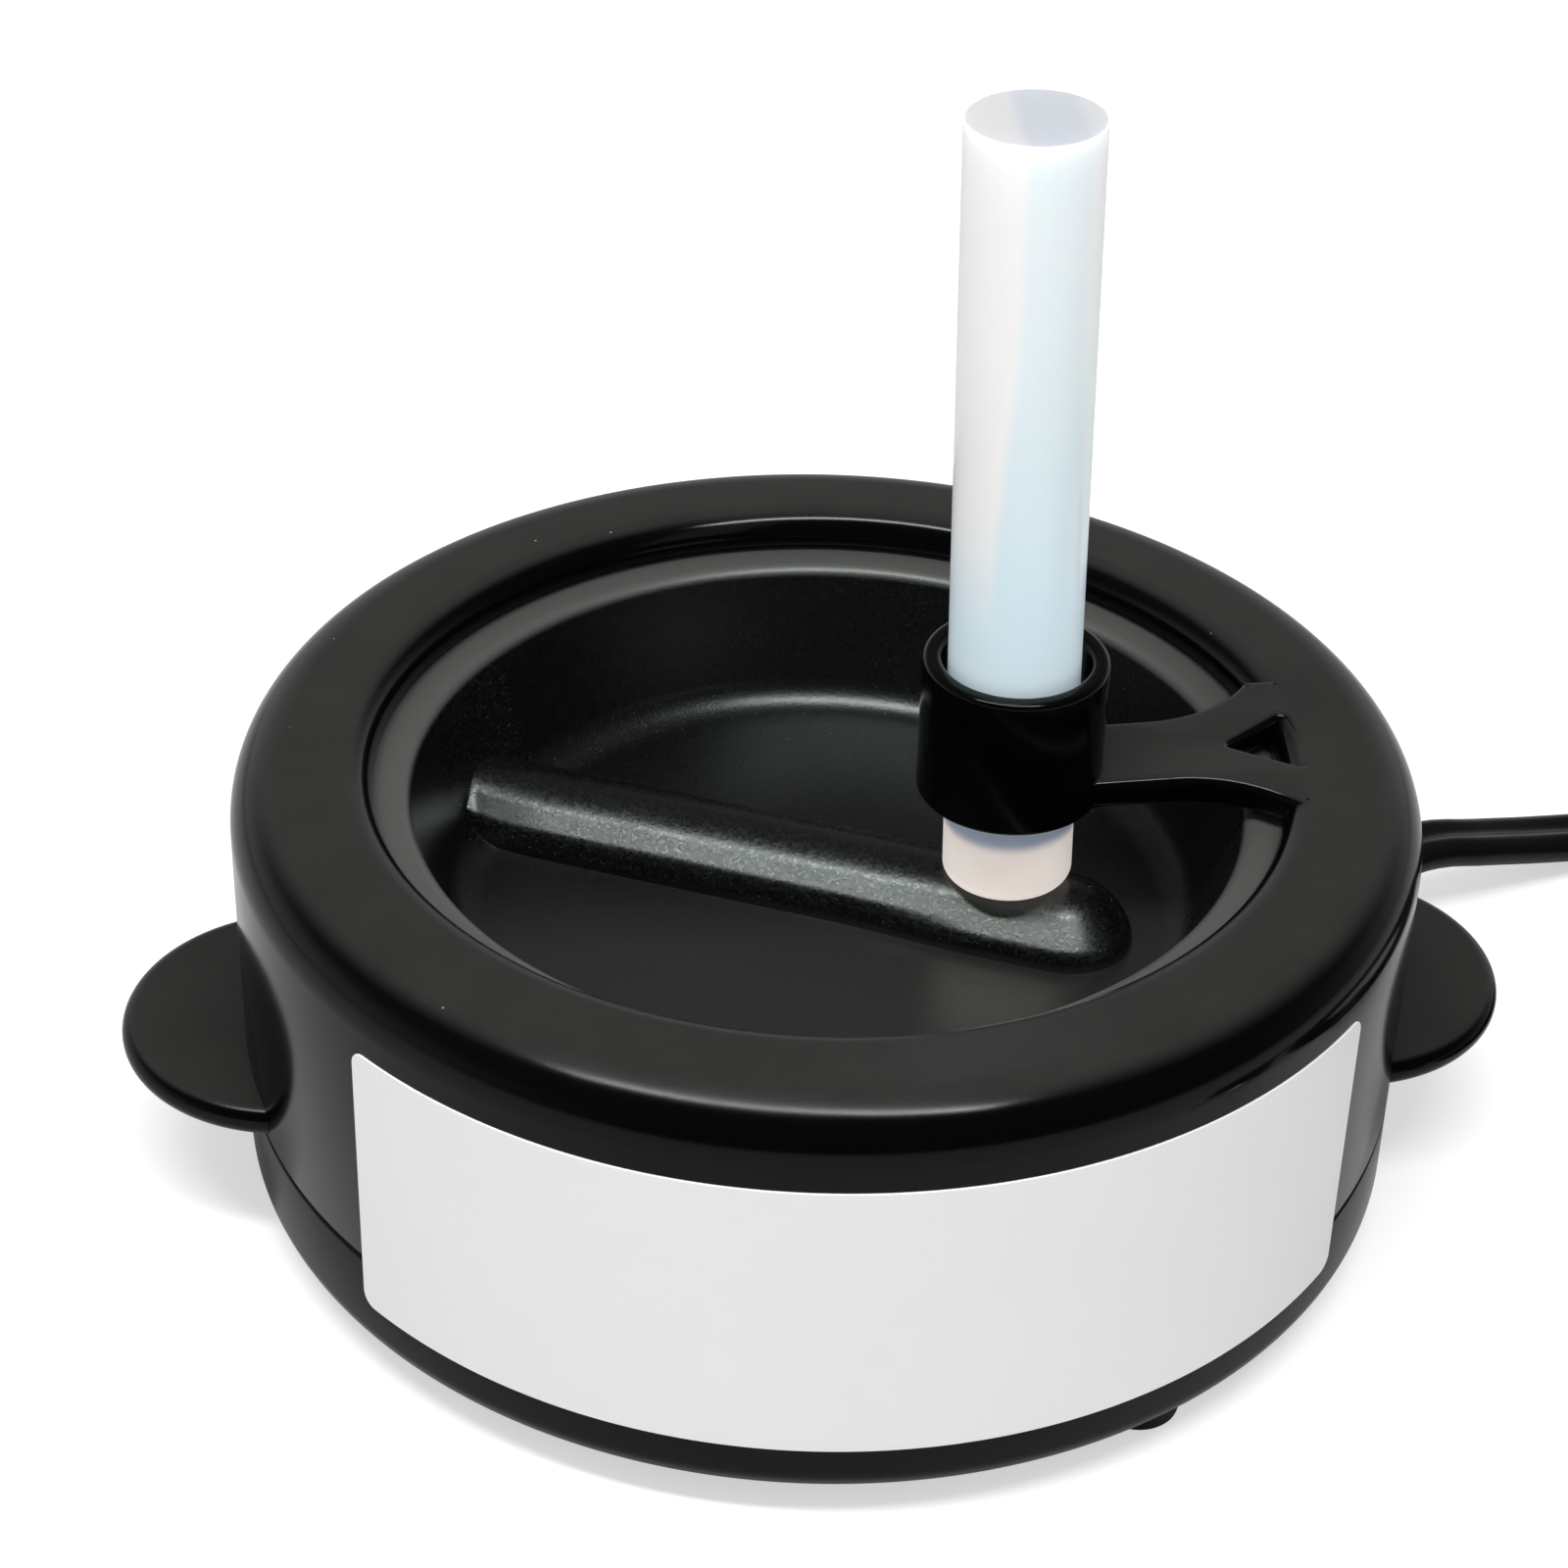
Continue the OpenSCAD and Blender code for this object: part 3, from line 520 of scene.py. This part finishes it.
cord = {
    "width": 6.2, "thick": 3.1, "web": 1.1, "step": 1.6,
    "azimuth": 24.8, "height": 7, "wall": 51, "boot": 15, "straight": 3,
    "route": [(66, 30.2, 6.6), (69, 31.1, 5.9), (72.1, 32.3, 5.05), (75.5, 33.5, 4.2), (79.3, 34.8, 3.35),
              (83.5, 36, 2.6), (88, 37, 2.1), (94.5, 38, 1.9), (101.5, 38.7, 1.8), (109, 39, 2), (114, 39, 2.2)],
    "endRoute": [(171.8, -20, 6), (171.6, -28, 5), (169.5, -36, 3.4), (165, -44, 2.1), (158.5, -51, 1.8),
                 (150, -57, 1.9), (141, -60.8, 2.8), (131.5, -62, 4.8), (124, -62, 6.2)],
    "plug": (118, -62, 6.5),
}
coil = {"centre": (126, -6.5), "radius": 45.5, "step": 7, "lift": 3.7, "low": 2.2, "turns": 5.25, "lead": 6.4}


def outOfWall(far, across=0.0, height=None):
    # point on the cord's way out: far from the axis, across it to the left
    a = math.radians(cord["azimuth"])
    z = cord["height"] if height is None else height
    return np.array([far * math.cos(a) - across * math.sin(a), far * math.sin(a) + across * math.cos(a), z])


def coilPoints():
    # clockwise spiral that runs in on the lower layer and out on the upper one
    t = np.arange(int(coil["turns"] * 24) + 1) / 24
    radius = coil["radius"] - coil["step"] * np.minimum(t, coil["turns"] - t)
    rise = np.clip((t - coil["turns"] / 2) / 0.5 + 0.5, 0, 1)
    a = np.pi / 2 - 2 * np.pi * t
    x = coil["centre"][0] + radius * np.cos(a)
    y = coil["centre"][1] + radius * np.sin(a)
    return np.stack([x, y, coil["low"] + coil["lift"] * rise], 1)


def cordSection(count=32):
    # two round cores side by side, with the web between them
    a = np.arange(count) * 2 * np.pi / count
    x = cord["width"] / 2 * np.cos(a)
    core = cord["thick"] / 2
    lobe = np.sqrt(np.maximum(core**2 - (np.abs(x) - (cord["width"] / 2 - core)) ** 2, 0))
    level = np.where(np.abs(x) < cord["width"] / 2 - core, np.maximum(lobe, cord["web"]), lobe)
    return np.stack([x, np.sign(np.sin(a)) * level], 1)


def makeCord():
    # one tube: out of the boot, down the route, round the coil, and on to the plug
    loops = coilPoints()
    lead = np.array([coil["lead"], 0, 0])
    start = [outOfWall(cord["wall"] + cord["boot"]), outOfWall(cord["wall"] + cord["boot"] + cord["straight"])]
    points = np.concatenate([
        start, cord["route"], [loops[0] - lead], loops, [loops[-1] - lead[[1, 0, 2]]],
        cord["endRoute"], [cord["plug"]],
    ])
    line = smoothLine(points, cord["step"])
    shell = Shell()
    sweep(shell, line, cordSection())
    made = piece("powerCord", shell.mesh("powerCord", 60), "cord", replaces=("power_cord", "cord_coil", "cord_end"))
    length = np.linalg.norm(np.diff(line, axis=0), axis=1).sum() * mm
    return made, line, length


cordPiece, cordLine, cordLength = makeCord()
print("cord made, metres:", round(float(cordLength), 3))


# ---- boot, tie and plug on the cord ----

def loft(shell, stations, steps=48, move=lambda p: p):
    # ovals along X: each station is (x, half width in Y, half height in Z, squareness)
    x, wide, high, power = np.array(stations, float).T[:, :, None]
    a = np.arange(steps) * 2 * np.pi / steps
    c, s = np.cos(a), np.sin(a)
    y = wide * np.sign(c) * np.abs(c) ** (2 / power)
    z = high * np.sign(s) * np.abs(s) ** (2 / power)
    points = move(np.stack([x + 0 * a, y, z], -1))
    shell.grid(points, startPole=points[0].mean(0), endPole=points[-1].mean(0))


def evenStations(stations, step=0.4):
    # the stations joined by straight runs, one every step
    rows = np.array(stations, float)
    x = np.arange(rows[0, 0], rows[-1, 0] + step / 2, step)
    return np.stack([x] + [np.interp(x, rows[:, 0], rows[:, k]) for k in (1, 2, 3)], 1)


def makeBoot():
    # round collar on the wall that flattens into the cord's oval, with a root inside the wall
    root = cord["wall"]
    end = root + cord["boot"]
    rows = evenStations([(root + 0.2, 4.1, 4.1, 2), (root + 1.6, 4.1, 4.1, 2), (end - 0.6, 3.85, 2.35, 2.3)])
    rows = np.concatenate([[(root - 2.2, 3.35, 3.35, 2), (root + 0.15, 3.35, 3.35, 2), (root + 0.2, 3.85, 3.85, 2)],
                           rows[1:], [(end - 0.2, 3.75, 2.25, 2.3), (end, 3.5, 2.0, 2.3)]])
    turn = turning(cord["azimuth"])
    shell = Shell()
    loft(shell, rows, move=lambda p: p @ turn + [0, 0, cord["height"]])
    return piece("cordBoot", shell.mesh("cordBoot"), "strain_relief", replaces=("strain_relief",))


tie = {"azimuth": 200, "width": 7, "thick": 0.45, "corner": 1.6, "tail": 9, "tailFrom": 3, "runIn": 3.9}


def makeTie():
    # strap round both layers of the coil, with its free end lying on top; the outermost strand runs
    # in by "runIn" here, so the strap's outer side does too
    inner = coil["radius"] - coil["step"] * coil["turns"] / 2 - cord["width"] / 2 - 0.7
    outer = coil["radius"] - tie["runIn"] + cord["width"] / 2 + 0.5
    high = coil["low"] + coil["lift"] + cord["thick"] / 2 + 0.55
    r, t, w = tie["corner"], tie["thick"], tie["width"] / 2
    loop = roundedPath([(inner, t / 2, r), (outer, t / 2, r), (outer, high, r), (inner, high, r)])
    start = inner + tie["tailFrom"]
    tail = np.array([(start, high + 0.45), (start + 3, high + 0.5), (start + tie["tail"], high + 0.5)])
    turn = turning(tie["azimuth"])
    section = roundedPath([(-w, -t / 2, 0.2), (w, -t / 2, 0.2), (w, t / 2, 0.2), (-w, t / 2, 0.2)], fine=0.1)
    shell = Shell()
    for line, closed in ((loop, True), (tail, False)):
        out = outwards(line) if closed else np.tile([[0.0, 1.0]], (len(line), 1))
        flat = line[:, None] + out[:, None] * section[None, :, 1:]
        points = np.stack([flat[..., 0], np.broadcast_to(section[None, :, 0], flat.shape[:2]), flat[..., 1]], -1)
        points = points @ turn + [*coil["centre"], 0]
        if closed:
            shell.grid(points, wrapRows=True)
        else:
            shell.grid(points, startPole=points[0].mean(0), endPole=points[-1].mean(0))
    return piece("cordTie", shell.mesh("cordTie"), "tie", replaces=("cord_tie",))


plug = {"length": 30, "ribs": 4, "blade": (17, 6.3, 1.5), "apart": 12.7, "hole": 1.6}


def makePlug():
    # grip behind the body has ribs; everything points along -X from the cord
    rows = evenStations([(0, 3.9, 2.3, 2), (9, 5.2, 4.2, 2), (12, 6.4, 5.0, 2.2), (19, 9.6, 5.7, 3),
                         (23, 10.6, 6.1, 4), (29.4, 10.9, 6.4, 5)], 0.25)
    x = rows[:, 0]
    grip = (x > 1.2) & (x < 1.2 + plug["ribs"] * 2.0)
    groove = np.where(grip, 0.45 * np.clip(np.sin((x - 1.2) * math.pi) * 2.2, -1, 1), 0)
    rows[:, 1] -= np.maximum(groove, 0)
    rows[:, 2] -= np.maximum(groove, 0)
    waist = 0.9 * np.exp(-((x - 24) / 2.6) ** 2)  # hollow for the fingers on each side
    rows[:, 1] -= waist
    rows = np.concatenate([rows, [(29.8, 10.7, 6.2, 5), (30, 10.2, 5.8, 5)]])
    shell = Shell()
    loft(shell, rows, 96, move=lambda p: p * [-1, 1, 1] + cord["plug"])
    body = piece("plugBody", shell.mesh("plugBody"), "plug", replaces=("plug_body",))
    long, wide, thick = plug["blade"]
    tip = [(0, -wide / 2, 0.1), (long - 3, -wide / 2, 0.6), (long, -wide / 2 + 1.6, 0.8),
           (long, wide / 2 - 1.6, 0.8), (long - 3, wide / 2, 0.6), (0, wide / 2, 0.1)]
    blades = Shell()
    for side in (-1, 1):
        def move(p, side=side):
            turned = np.stack([-p[..., 0], p[..., 2] + side * plug["apart"] / 2, p[..., 1]], -1)
            return turned + cord["plug"] - [plug["length"], 0, 0]
        hole = arcPoints((long - 3.2, 0), plug["hole"], 360, 10, 0.3)
        plate(blades, [roundedPath(tip), hole], -thick / 2, thick / 2, 0.25, move)
    return body, piece("plugBlades", blades.mesh("plugBlades"), "blade", replaces=("plug_blades",))


boot = makeBoot()
strap = makeTie()
plugBody, plugBlades = makePlug()
print("boot, tie and plug made")

# ---- housing ----

body = {"radius": 51, "wall": 2.2, "rim": 41, "joint": 12.25, "gap": 0.15, "roll": 4.9, "lip": 39, "lipLow": 37.75}
tab = {"reach": 61.8, "radius": 15.1, "thick": 2.8, "hidden": 49.6}
foot = {"ring": 45.4, "radius": 3.8, "high": 3.6, "play": 0.1, "places": {"Front": -60, "Rear": 60, "Left": 180}}
base = {"under": 2.6, "round": 2.5, "floor": 5, "spigot": 48.6, "spigotIn": 47.2, "spigotTop": 14.45,
        "screwRing": 44.2, "screwHole": 3.1, "screwDeep": 4.5, "screwAt": (0, 120, 240)}
holder = {"centre": (15.2, -3.2), "outer": 7.9, "bore": 6.3, "top": 51.3, "armLow": 38.2,
          "turn": 3.2, "bar": 4.7, "flare": 12.5, "flareAt": 13, "root": 9.8, "end": 41.8}


def rimPath():
    # the ring's wall in section: outside, rolled rim, drop over the pan, then back down the inside
    b, low = body, body["joint"] + body["gap"]
    inside = b["radius"] - b["wall"]
    under = b["rim"] - b["wall"]
    return roundedPath([
        (b["radius"], low, 0.25), (b["radius"], b["rim"], b["roll"]), (b["lip"], b["rim"], 2.5),
        (b["lip"], b["lipLow"], 0.5), (b["lip"] + 2.2, b["lipLow"], 0.4), (b["lip"] + 2.2, under, 0.3),
        (inside, under, 2.7), (inside, low, 0.2)])


def addTab(shell, side):
    # disc with a full round edge; what would stand inside the wall is drawn back into the wall
    low, r = body["joint"] + body["gap"], tab["radius"]
    high, edge = low + tab["thick"], tab["thick"] / 2 - 0.01
    path = roundedPath([(0, low, 0), (r, low, edge), (r, high, edge), (0, high, 0)], closed=False, fine=0.12)

    def drawnOut(points):
        x, y = points[..., 0], points[..., 1]
        points[..., 0] = np.where(np.hypot(x, y) < tab["hidden"], np.sqrt(tab["hidden"] ** 2 - y**2), x)
        return points * [side, side, 1]

    lathe(shell, path, 256, (tab["reach"] - r, 0), closed=False, lean=drawnOut)


def armOutline():
    # a bar that flares on two arcs into the rim, from the collar's wall to the rim's flat top
    h = holder
    flareEnd = h["flareAt"] + math.sqrt(h["flare"] ** 2 - (h["bar"] + h["flare"] - h["root"]) ** 2)
    sweepAngle = math.degrees(math.acos((h["bar"] + h["flare"] - h["root"]) / h["flare"]))
    lower = arcPoints((h["flareAt"], -h["bar"] - h["flare"]), h["flare"], 90, 90 - sweepAngle)
    start = math.degrees(math.asin(h["bar"] / 7.2))
    collarSide = arcPoints((0, 0), 7.2, start, -start)
    turn = math.radians(h["turn"])
    spin = np.array([[math.cos(turn), math.sin(turn)], [-math.sin(turn), math.cos(turn)]])
    side = np.concatenate([lower, [(flareEnd + 2, -h["root"])]])
    line = np.concatenate([collarSide, side]) @ spin + h["centre"]
    upper = (side * [1, -1])[::-1] @ spin + h["centre"]
    direction = np.array([math.cos(turn), math.sin(turn)])
    ends = []
    for spot in (line[-1], upper[0]):  # where each straight side reaches the end circle
        along = spot @ direction
        ends.append(spot + direction * (-along + math.sqrt(along**2 - spot @ spot + h["end"] ** 2)))
    angles = [math.degrees(math.atan2(e[1], e[0])) for e in ends]
    return np.concatenate([line, arcPoints((0, 0), h["end"], angles[0], angles[1]), upper]), spin


def makeUpperHousing():
    # the ring, its two tabs, the forked arm with its triangle, and the collar's tube
    shell = Shell()
    lathe(shell, rimPath(), 384)
    for side in (1, -1):
        addTab(shell, side)
    outline, spin = armOutline()
    hole = roundedPath([(19.1, 0, 0.35), (25.2, 4.2, 0.45), (25.2, -4.2, 0.45)], fine=0.1) @ spin + holder["centre"]
    plate(shell, [outline, hole], holder["armLow"], body["rim"] - 0.015, 0.8)
    h = holder
    lathe(shell, roundedPath([(h["bore"], h["armLow"], 0.5), (h["outer"], h["armLow"], 0.5),
                              (h["outer"], h["top"], 0.55), (h["bore"], h["top"], 0.55)]), 128, h["centre"])
    return piece("upperHousing", shell.mesh("upperHousing"), "housing", replaces=("upper_housing",))


def makeLowerHousing():
    # dish with a spigot inside the joint, less the screws' counterbores and the feet's seats
    b, r, high = base, body["radius"], body["joint"] - body["gap"]
    path = roundedPath([
        (0, b["under"], 0), (r, b["under"], b["round"]), (r, high, 0.25), (b["spigot"], high, 0.1),
        (b["spigot"], b["spigotTop"], 0.2), (b["spigotIn"], b["spigotTop"], 0.2),
        (b["spigotIn"], b["floor"], 0.3), (0, b["floor"], 0)], closed=False)
    shell = Shell()
    lathe(shell, path, 384, closed=False)
    solid = shell.mesh("lowerHousing")
    cutters = Shell()
    screws = (b["screwAt"], b["screwRing"], b["screwHole"], b["screwDeep"], 48)
    seats = (foot["places"].values(), foot["ring"], foot["radius"] + foot["play"], foot["high"], 64)
    for angles, ring, hole, deep, steps in (screws, seats):
        for angle in angles:
            a = math.radians(angle)
            spot = (ring * math.cos(a), ring * math.sin(a))
            lathe(cutters, np.array([(0, 1), (hole, 1), (hole, deep), (0, deep)], float), steps, spot, closed=False)
    cut = cutAway(solid, cutters.mesh("cutters"), 38)
    return piece("lowerHousing", cut, "housing", replaces=("lower_housing",))


def cutAway(solid, tool, sharp):
    # the solid less the tool, as a new mesh
    base = bpy.data.objects.new("base", solid)
    cutter = bpy.data.objects.new("cutter", tool)
    for made in (base, cutter):
        scene.collection.objects.link(made)
    cut = base.modifiers.new("cut", "BOOLEAN")
    cut.operation, cut.object, cut.solver = "DIFFERENCE", cutter, "EXACT"
    result = bpy.data.meshes.new_from_object(base.evaluated_get(bpy.context.evaluated_depsgraph_get()))
    for made in (base, cutter):
        bpy.data.objects.remove(made)
    return tidyMesh(result, sharp)


makeUpperHousing()
makeLowerHousing()
print("housing made")

# ---- pan ----

pan = {"floor": 24.3, "flange": 37.3, "mouth": 35.95, "knee": 32.4, "fillet": 3.6, "lipRoll": 1.3, "flangeOut": 40.6,
       "underFlange": 35.1, "outTop": 37.8, "outside": 35.2, "outLow": 26.3, "heel": 31.7, "under": 22.1, "metal": 34.7}


def wallHeight(radius, path):
    # height of the pan's inside at a distance from its axis
    return np.interp(radius, path[:, 0], path[:, 1])


def blendedUp(a, b, width):
    # the larger of two heights, with a smooth passage where they differ by less than the width
    near = np.maximum(width - np.abs(a - b), 0)
    return np.maximum(a, b) + near**2 / (4 * width)


def ridgeSection(broad):
    # half section (across, height) from the crown to the foot: a quarter circle, or with broad from 0 to 1
    # an arc, then a straight slope and a steep side below it
    r = ridge["radius"]
    if broad is None:
        a = np.linspace(math.pi / 2, 0, 60)
        line = np.stack([r * np.cos(a), r * np.sin(a)], 1)
    else:
        edge = np.array([5.3, 3.15]) + broad * np.array([0.85, -0.75])
        side = roundedPath([(r * math.cos(0.94), r * math.sin(0.94), 0), (*edge, 1.5), (5.7 + broad * 0.5, 0, 0)],
                           closed=False, fine=0.1)
        line = np.concatenate([arcPoints((0, 0), r, 90, 54, 0.1), side[1:]])
    far = np.concatenate([[0], np.cumsum(np.linalg.norm(np.diff(line, axis=0), axis=1))])
    even = np.linspace(0, far[-1], 56)
    across, height = (np.append(np.interp(even, far, line[:, k]), last) for k, last in ((0, 0), (1, -0.3)))
    return np.stack([across, height])[:, :, None]


def addRidge(shell, inside):
    # bar across the floor, round at the back and flat-sided in front, whose left end runs into the wall
    axis = pan["floor"] - ridge["sink"]
    along = np.concatenate([np.arange(-34.4, -27, 0.2), np.arange(-27, ridge["end"], 0.8)])
    cap = np.linspace(math.pi / 2, -math.pi / 2, 49)
    spine = np.concatenate([along, np.full(len(cap), ridge["end"]), along[::-1]])
    facing = np.concatenate([np.full(len(along), math.pi / 2), cap, np.full(len(along), -math.pi / 2)])
    near = np.clip(0.5 - 0.8 * np.sin(facing), 0, 1)
    wide = np.clip((spine - ridge["widens"]) / 14, 0, 1)
    wide = wide * wide * (3 - 2 * wide)
    section = ridgeSection(None) * (1 - near) + near * (ridgeSection(0) * (1 - wide) + ridgeSection(1) * wide)
    narrow = np.clip((-25 - spine) / 9, 0, 1)
    across = section[0] * (1 - near * ridge["pinch"] * narrow**2)
    x = spine[None] + across * np.cos(facing)
    y = across * np.sin(facing) + ridge["behind"]
    a = math.radians(ridge["turn"])
    px, py = x * math.cos(a) - y * math.sin(a), x * math.sin(a) + y * math.cos(a)
    far = np.hypot(px, py)
    inner = np.minimum(1, pan["metal"] / far)  # no further out than the metal of the wall
    reach = np.minimum(far, pan["metal"])
    z = axis + section[1] + 0 * px
    width = 0.01 + ridge["blend"] * np.clip((reach - 30) / 2.5, 0, 1) ** 2
    raised = blendedUp(z, wallHeight(reach, inside) - 0.06, width)
    z[:-1] = raised[:-1]
    shell.grid(np.stack([px * inner, py * inner, z], -1))


def makePan():
    # bowl with a sloping wall and a flat flange, turned in one piece, and the ridge set into its floor
    shell = Shell()
    p = pan
    path = roundedPath([
        (0, p["floor"], 0), (p["knee"], p["floor"], p["fillet"]), (p["mouth"], p["flange"], p["lipRoll"]),
        (p["flangeOut"], p["flange"], 0.3), (p["flangeOut"], p["underFlange"], 0.3),
        (p["outTop"], p["underFlange"], 0.6),
        (p["outside"], p["outLow"], 1.5), (p["heel"], p["under"], 1.5), (0, p["under"], 0)], closed=False)
    lathe(shell, path, 320, closed=False)
    addRidge(shell, path[: int(np.argmax(path[:, 1] > 36))])
    return piece("gluePan", shell.mesh("gluePan", 50), "pan", replaces=("glue_pan",))


makePan()
print("pan made")

# ---- label, stick and feet ----

label = {"low": 7.7, "high": 34.2, "middle": -91, "half": 52.2, "corner": 1.4, "thick": 0.15}


def makeLabel():
    # rounded rectangle, drawn in towards its middle and wrapped round the wall
    half = math.radians(label["half"]) * body["radius"]
    tall = (label["high"] - label["low"]) / 2
    outline = roundedPath([(-half, -tall, label["corner"]), (half, -tall, label["corner"]),
                           (half, tall, label["corner"]), (-half, tall, label["corner"])])
    dense = []
    for a, b in zip(outline, np.roll(outline, -1, 0)):
        parts = max(1, int(np.linalg.norm(b - a) / 0.8))
        dense.append(a + (b - a) * np.linspace(0, 1, parts, endpoint=False)[:, None])
    outline = np.concatenate(dense)
    inward = -outwards(outline)
    rings = [(outline, 0.0), (outline, label["thick"] - 0.04), (outline + inward * 0.05, label["thick"])]
    rings += [(outline * s + inward * 0.05 * s, label["thick"]) for s in np.linspace(0.96, 0.04, 22)]
    flat = np.stack([r for r, lift in rings])
    lift = np.array([lift for r, lift in rings])[:, None]
    angle = math.radians(label["middle"]) + flat[..., 0] / body["radius"]
    radius = body["radius"] + 0.005 + lift
    height = flat[..., 1] + (label["high"] + label["low"]) / 2
    points = np.stack([radius * np.cos(angle), radius * np.sin(angle), height], -1)
    shell = Shell()
    middle = math.radians(label["middle"])
    pole = [radius[-1, 0] * math.cos(middle), radius[-1, 0] * math.sin(middle), (label["high"] + label["low"]) / 2]
    shell.grid(points, endPole=pole)
    rows = np.linspace(1, 0.04, 22)[:, None]  # the back, against the wall
    angle = middle + outline[None, :, 0] * rows / body["radius"]
    z = outline[None, :, 1] * rows + height[0].mean()
    inner = body["radius"] + 0.005
    backside = np.stack([inner * np.cos(angle), inner * np.sin(angle), z], -1)
    shell.grid(backside, endPole=[inner * math.cos(middle), inner * math.sin(middle), height[0].mean()])
    return piece("blankLabel", shell.mesh("blankLabel"), "label", replaces=("blank_label",))


def leaning(points):
    # turns points about the middle of the collar's bore, towards -X
    pivot = np.array([*holder["centre"], (holder["top"] + holder["armLow"]) / 2])
    a = math.radians(stick["lean"])
    turn = np.array([[math.cos(a), 0, math.sin(a)], [0, 1, 0], [-math.sin(a), 0, math.cos(a)]])
    return (points - pivot) @ turn + pivot


def makeStick():
    # cylinder with a softened end, standing at its lean in the collar
    low, high, r = stick["rest"], stick["rest"] + stick["length"], stick["radius"]
    path = roundedPath([(0, low, 0), (r, low, 0.9), (r, high, 0.35), (0, high, 0)], closed=False, fine=0.1)
    middle = np.linspace(low + 1, high - 1, 60)[:, None]
    split = int(np.argmax(path[:, 1] > (low + high) / 2))
    path = np.concatenate([path[:split], np.concatenate([0 * middle + r, middle], 1), path[split:]])
    shell = Shell()
    lathe(shell, path, 128, holder["centre"], closed=False, lean=leaning)
    return piece("glueStick", shell.mesh("glueStick"), "glue", body="glue_stick", replaces=("glue_stick",))


def makeFoot(name, angle, node):
    # round rubber stud that narrows a little to the bench, at its angle on the ring of feet
    a = math.radians(angle)
    r, ring = foot["radius"], foot["ring"]
    high = foot["high"]
    path = roundedPath([(0, 0, 0), (r - 0.3, 0, 0.5), (r, 2.2, 0.2), (r, high, 0.1), (0, high, 0)], closed=False)
    shell = Shell()
    lathe(shell, path, 64, (ring * math.cos(a), ring * math.sin(a)), closed=False)
    return piece(name, shell.mesh(name), "foot", replaces=(node,))


makeLabel()
makeStick()
for side, angle in foot["places"].items():
    makeFoot("foot" + side, angle, "foot_" + side.lower())
print("label, stick and feet made")

# ---- finishes on the pieces that stay as they are ----

slotOf = {s["node"]: s["material_slot"] for s in frame["record"]["subparts"]}
for name, node in frame["nodes"].items():
    node.data.materials.clear()
    node.data.materials.append(finish[slotOf[name]])

# ---- bench, light and background ----

light = {
    "diffuse": 0.64, "floorMatt": 0.5, "floorSeen": 0.55, "floorMirrored": 0.04, "floorHalf": 3.0,
    "place": (-0.08, -0.235, 0.85), "aim": (0, 0, 0.03), "size": (0.78, 0.10), "power": 7.8,
}


def makeFloor():
    # matt square whose own glow shows to the camera, and faintly in mirrored rays, but lights nothing
    size = light["floorHalf"]
    mesh = bpy.data.meshes.new("bench")
    mesh.from_pydata([(-size, -size, 0), (size, -size, 0), (size, size, 0), (-size, size, 0)], [], [(0, 1, 2, 3)])
    made = bpy.data.objects.new("bench", mesh)
    scene.collection.objects.link(made)
    paint = bpy.data.materials.new("pale bench")
    paint.use_nodes = True
    graph = Graph(paint.node_tree)
    seen, mirrored = graph.rays()
    strength = seen * light["floorSeen"] + mirrored * light["floorMirrored"]
    matt = graph.node("BsdfDiffuse", feeds={"Color": (light["floorMatt"],) * 3})
    glow = graph.node("Emission", feeds={"Color": (1, 1, 1), "Strength": strength})
    both = graph.node("AddShader", feeds={0: matt, 1: glow})
    graph.node("OutputMaterial", feeds={"Surface": both})
    mesh.materials.append(paint)


def makeWorld():
    # white to the camera, even for soft light, and for mirrored rays a sky that is brightest low behind
    world = bpy.data.worlds.new("studio")
    scene.world = world
    world.use_nodes = True
    graph = Graph(world.node_tree)
    seen, mirrored = graph.rays()
    x, y, z = graph.axes(graph.node("TexCoord", out="Generated"))  # direction of the ray
    behind = (0.5 + y * 0.5 - x * 0.15).between(0.15, 0.95)
    sky = 0.04 + behind * (0.10 + 0.62 * (1.0 - z.between(0.12, 0.5)))  # bright low behind, dim above and in front
    strength = seen + (1 - seen) * (mirrored * sky + (1 - mirrored) * light["diffuse"])
    back = graph.node("Background", feeds={"Color": (1, 1, 1), "Strength": strength})
    graph.node("OutputWorld", feeds={"Surface": back})


def makeLamp(name, place, aim, size, power):
    # flat soft box that faces the spot it aims at; sizes in metres, power in watts
    data = bpy.data.lights.new(name, "AREA")
    data.shape = "RECTANGLE"
    data.size, data.size_y = size
    data.energy = power
    made = bpy.data.objects.new(name, data)
    made.location = Vector(place)
    made.rotation_euler = (Vector(place) - Vector(aim)).to_track_quat("Z", "Y").to_euler()
    scene.collection.objects.link(made)


makeFloor()
makeWorld()
makeLamp("top box", light["place"], light["aim"], light["size"], light["power"])
scene.view_settings.view_transform = "Standard"
print("bench, light and background made")
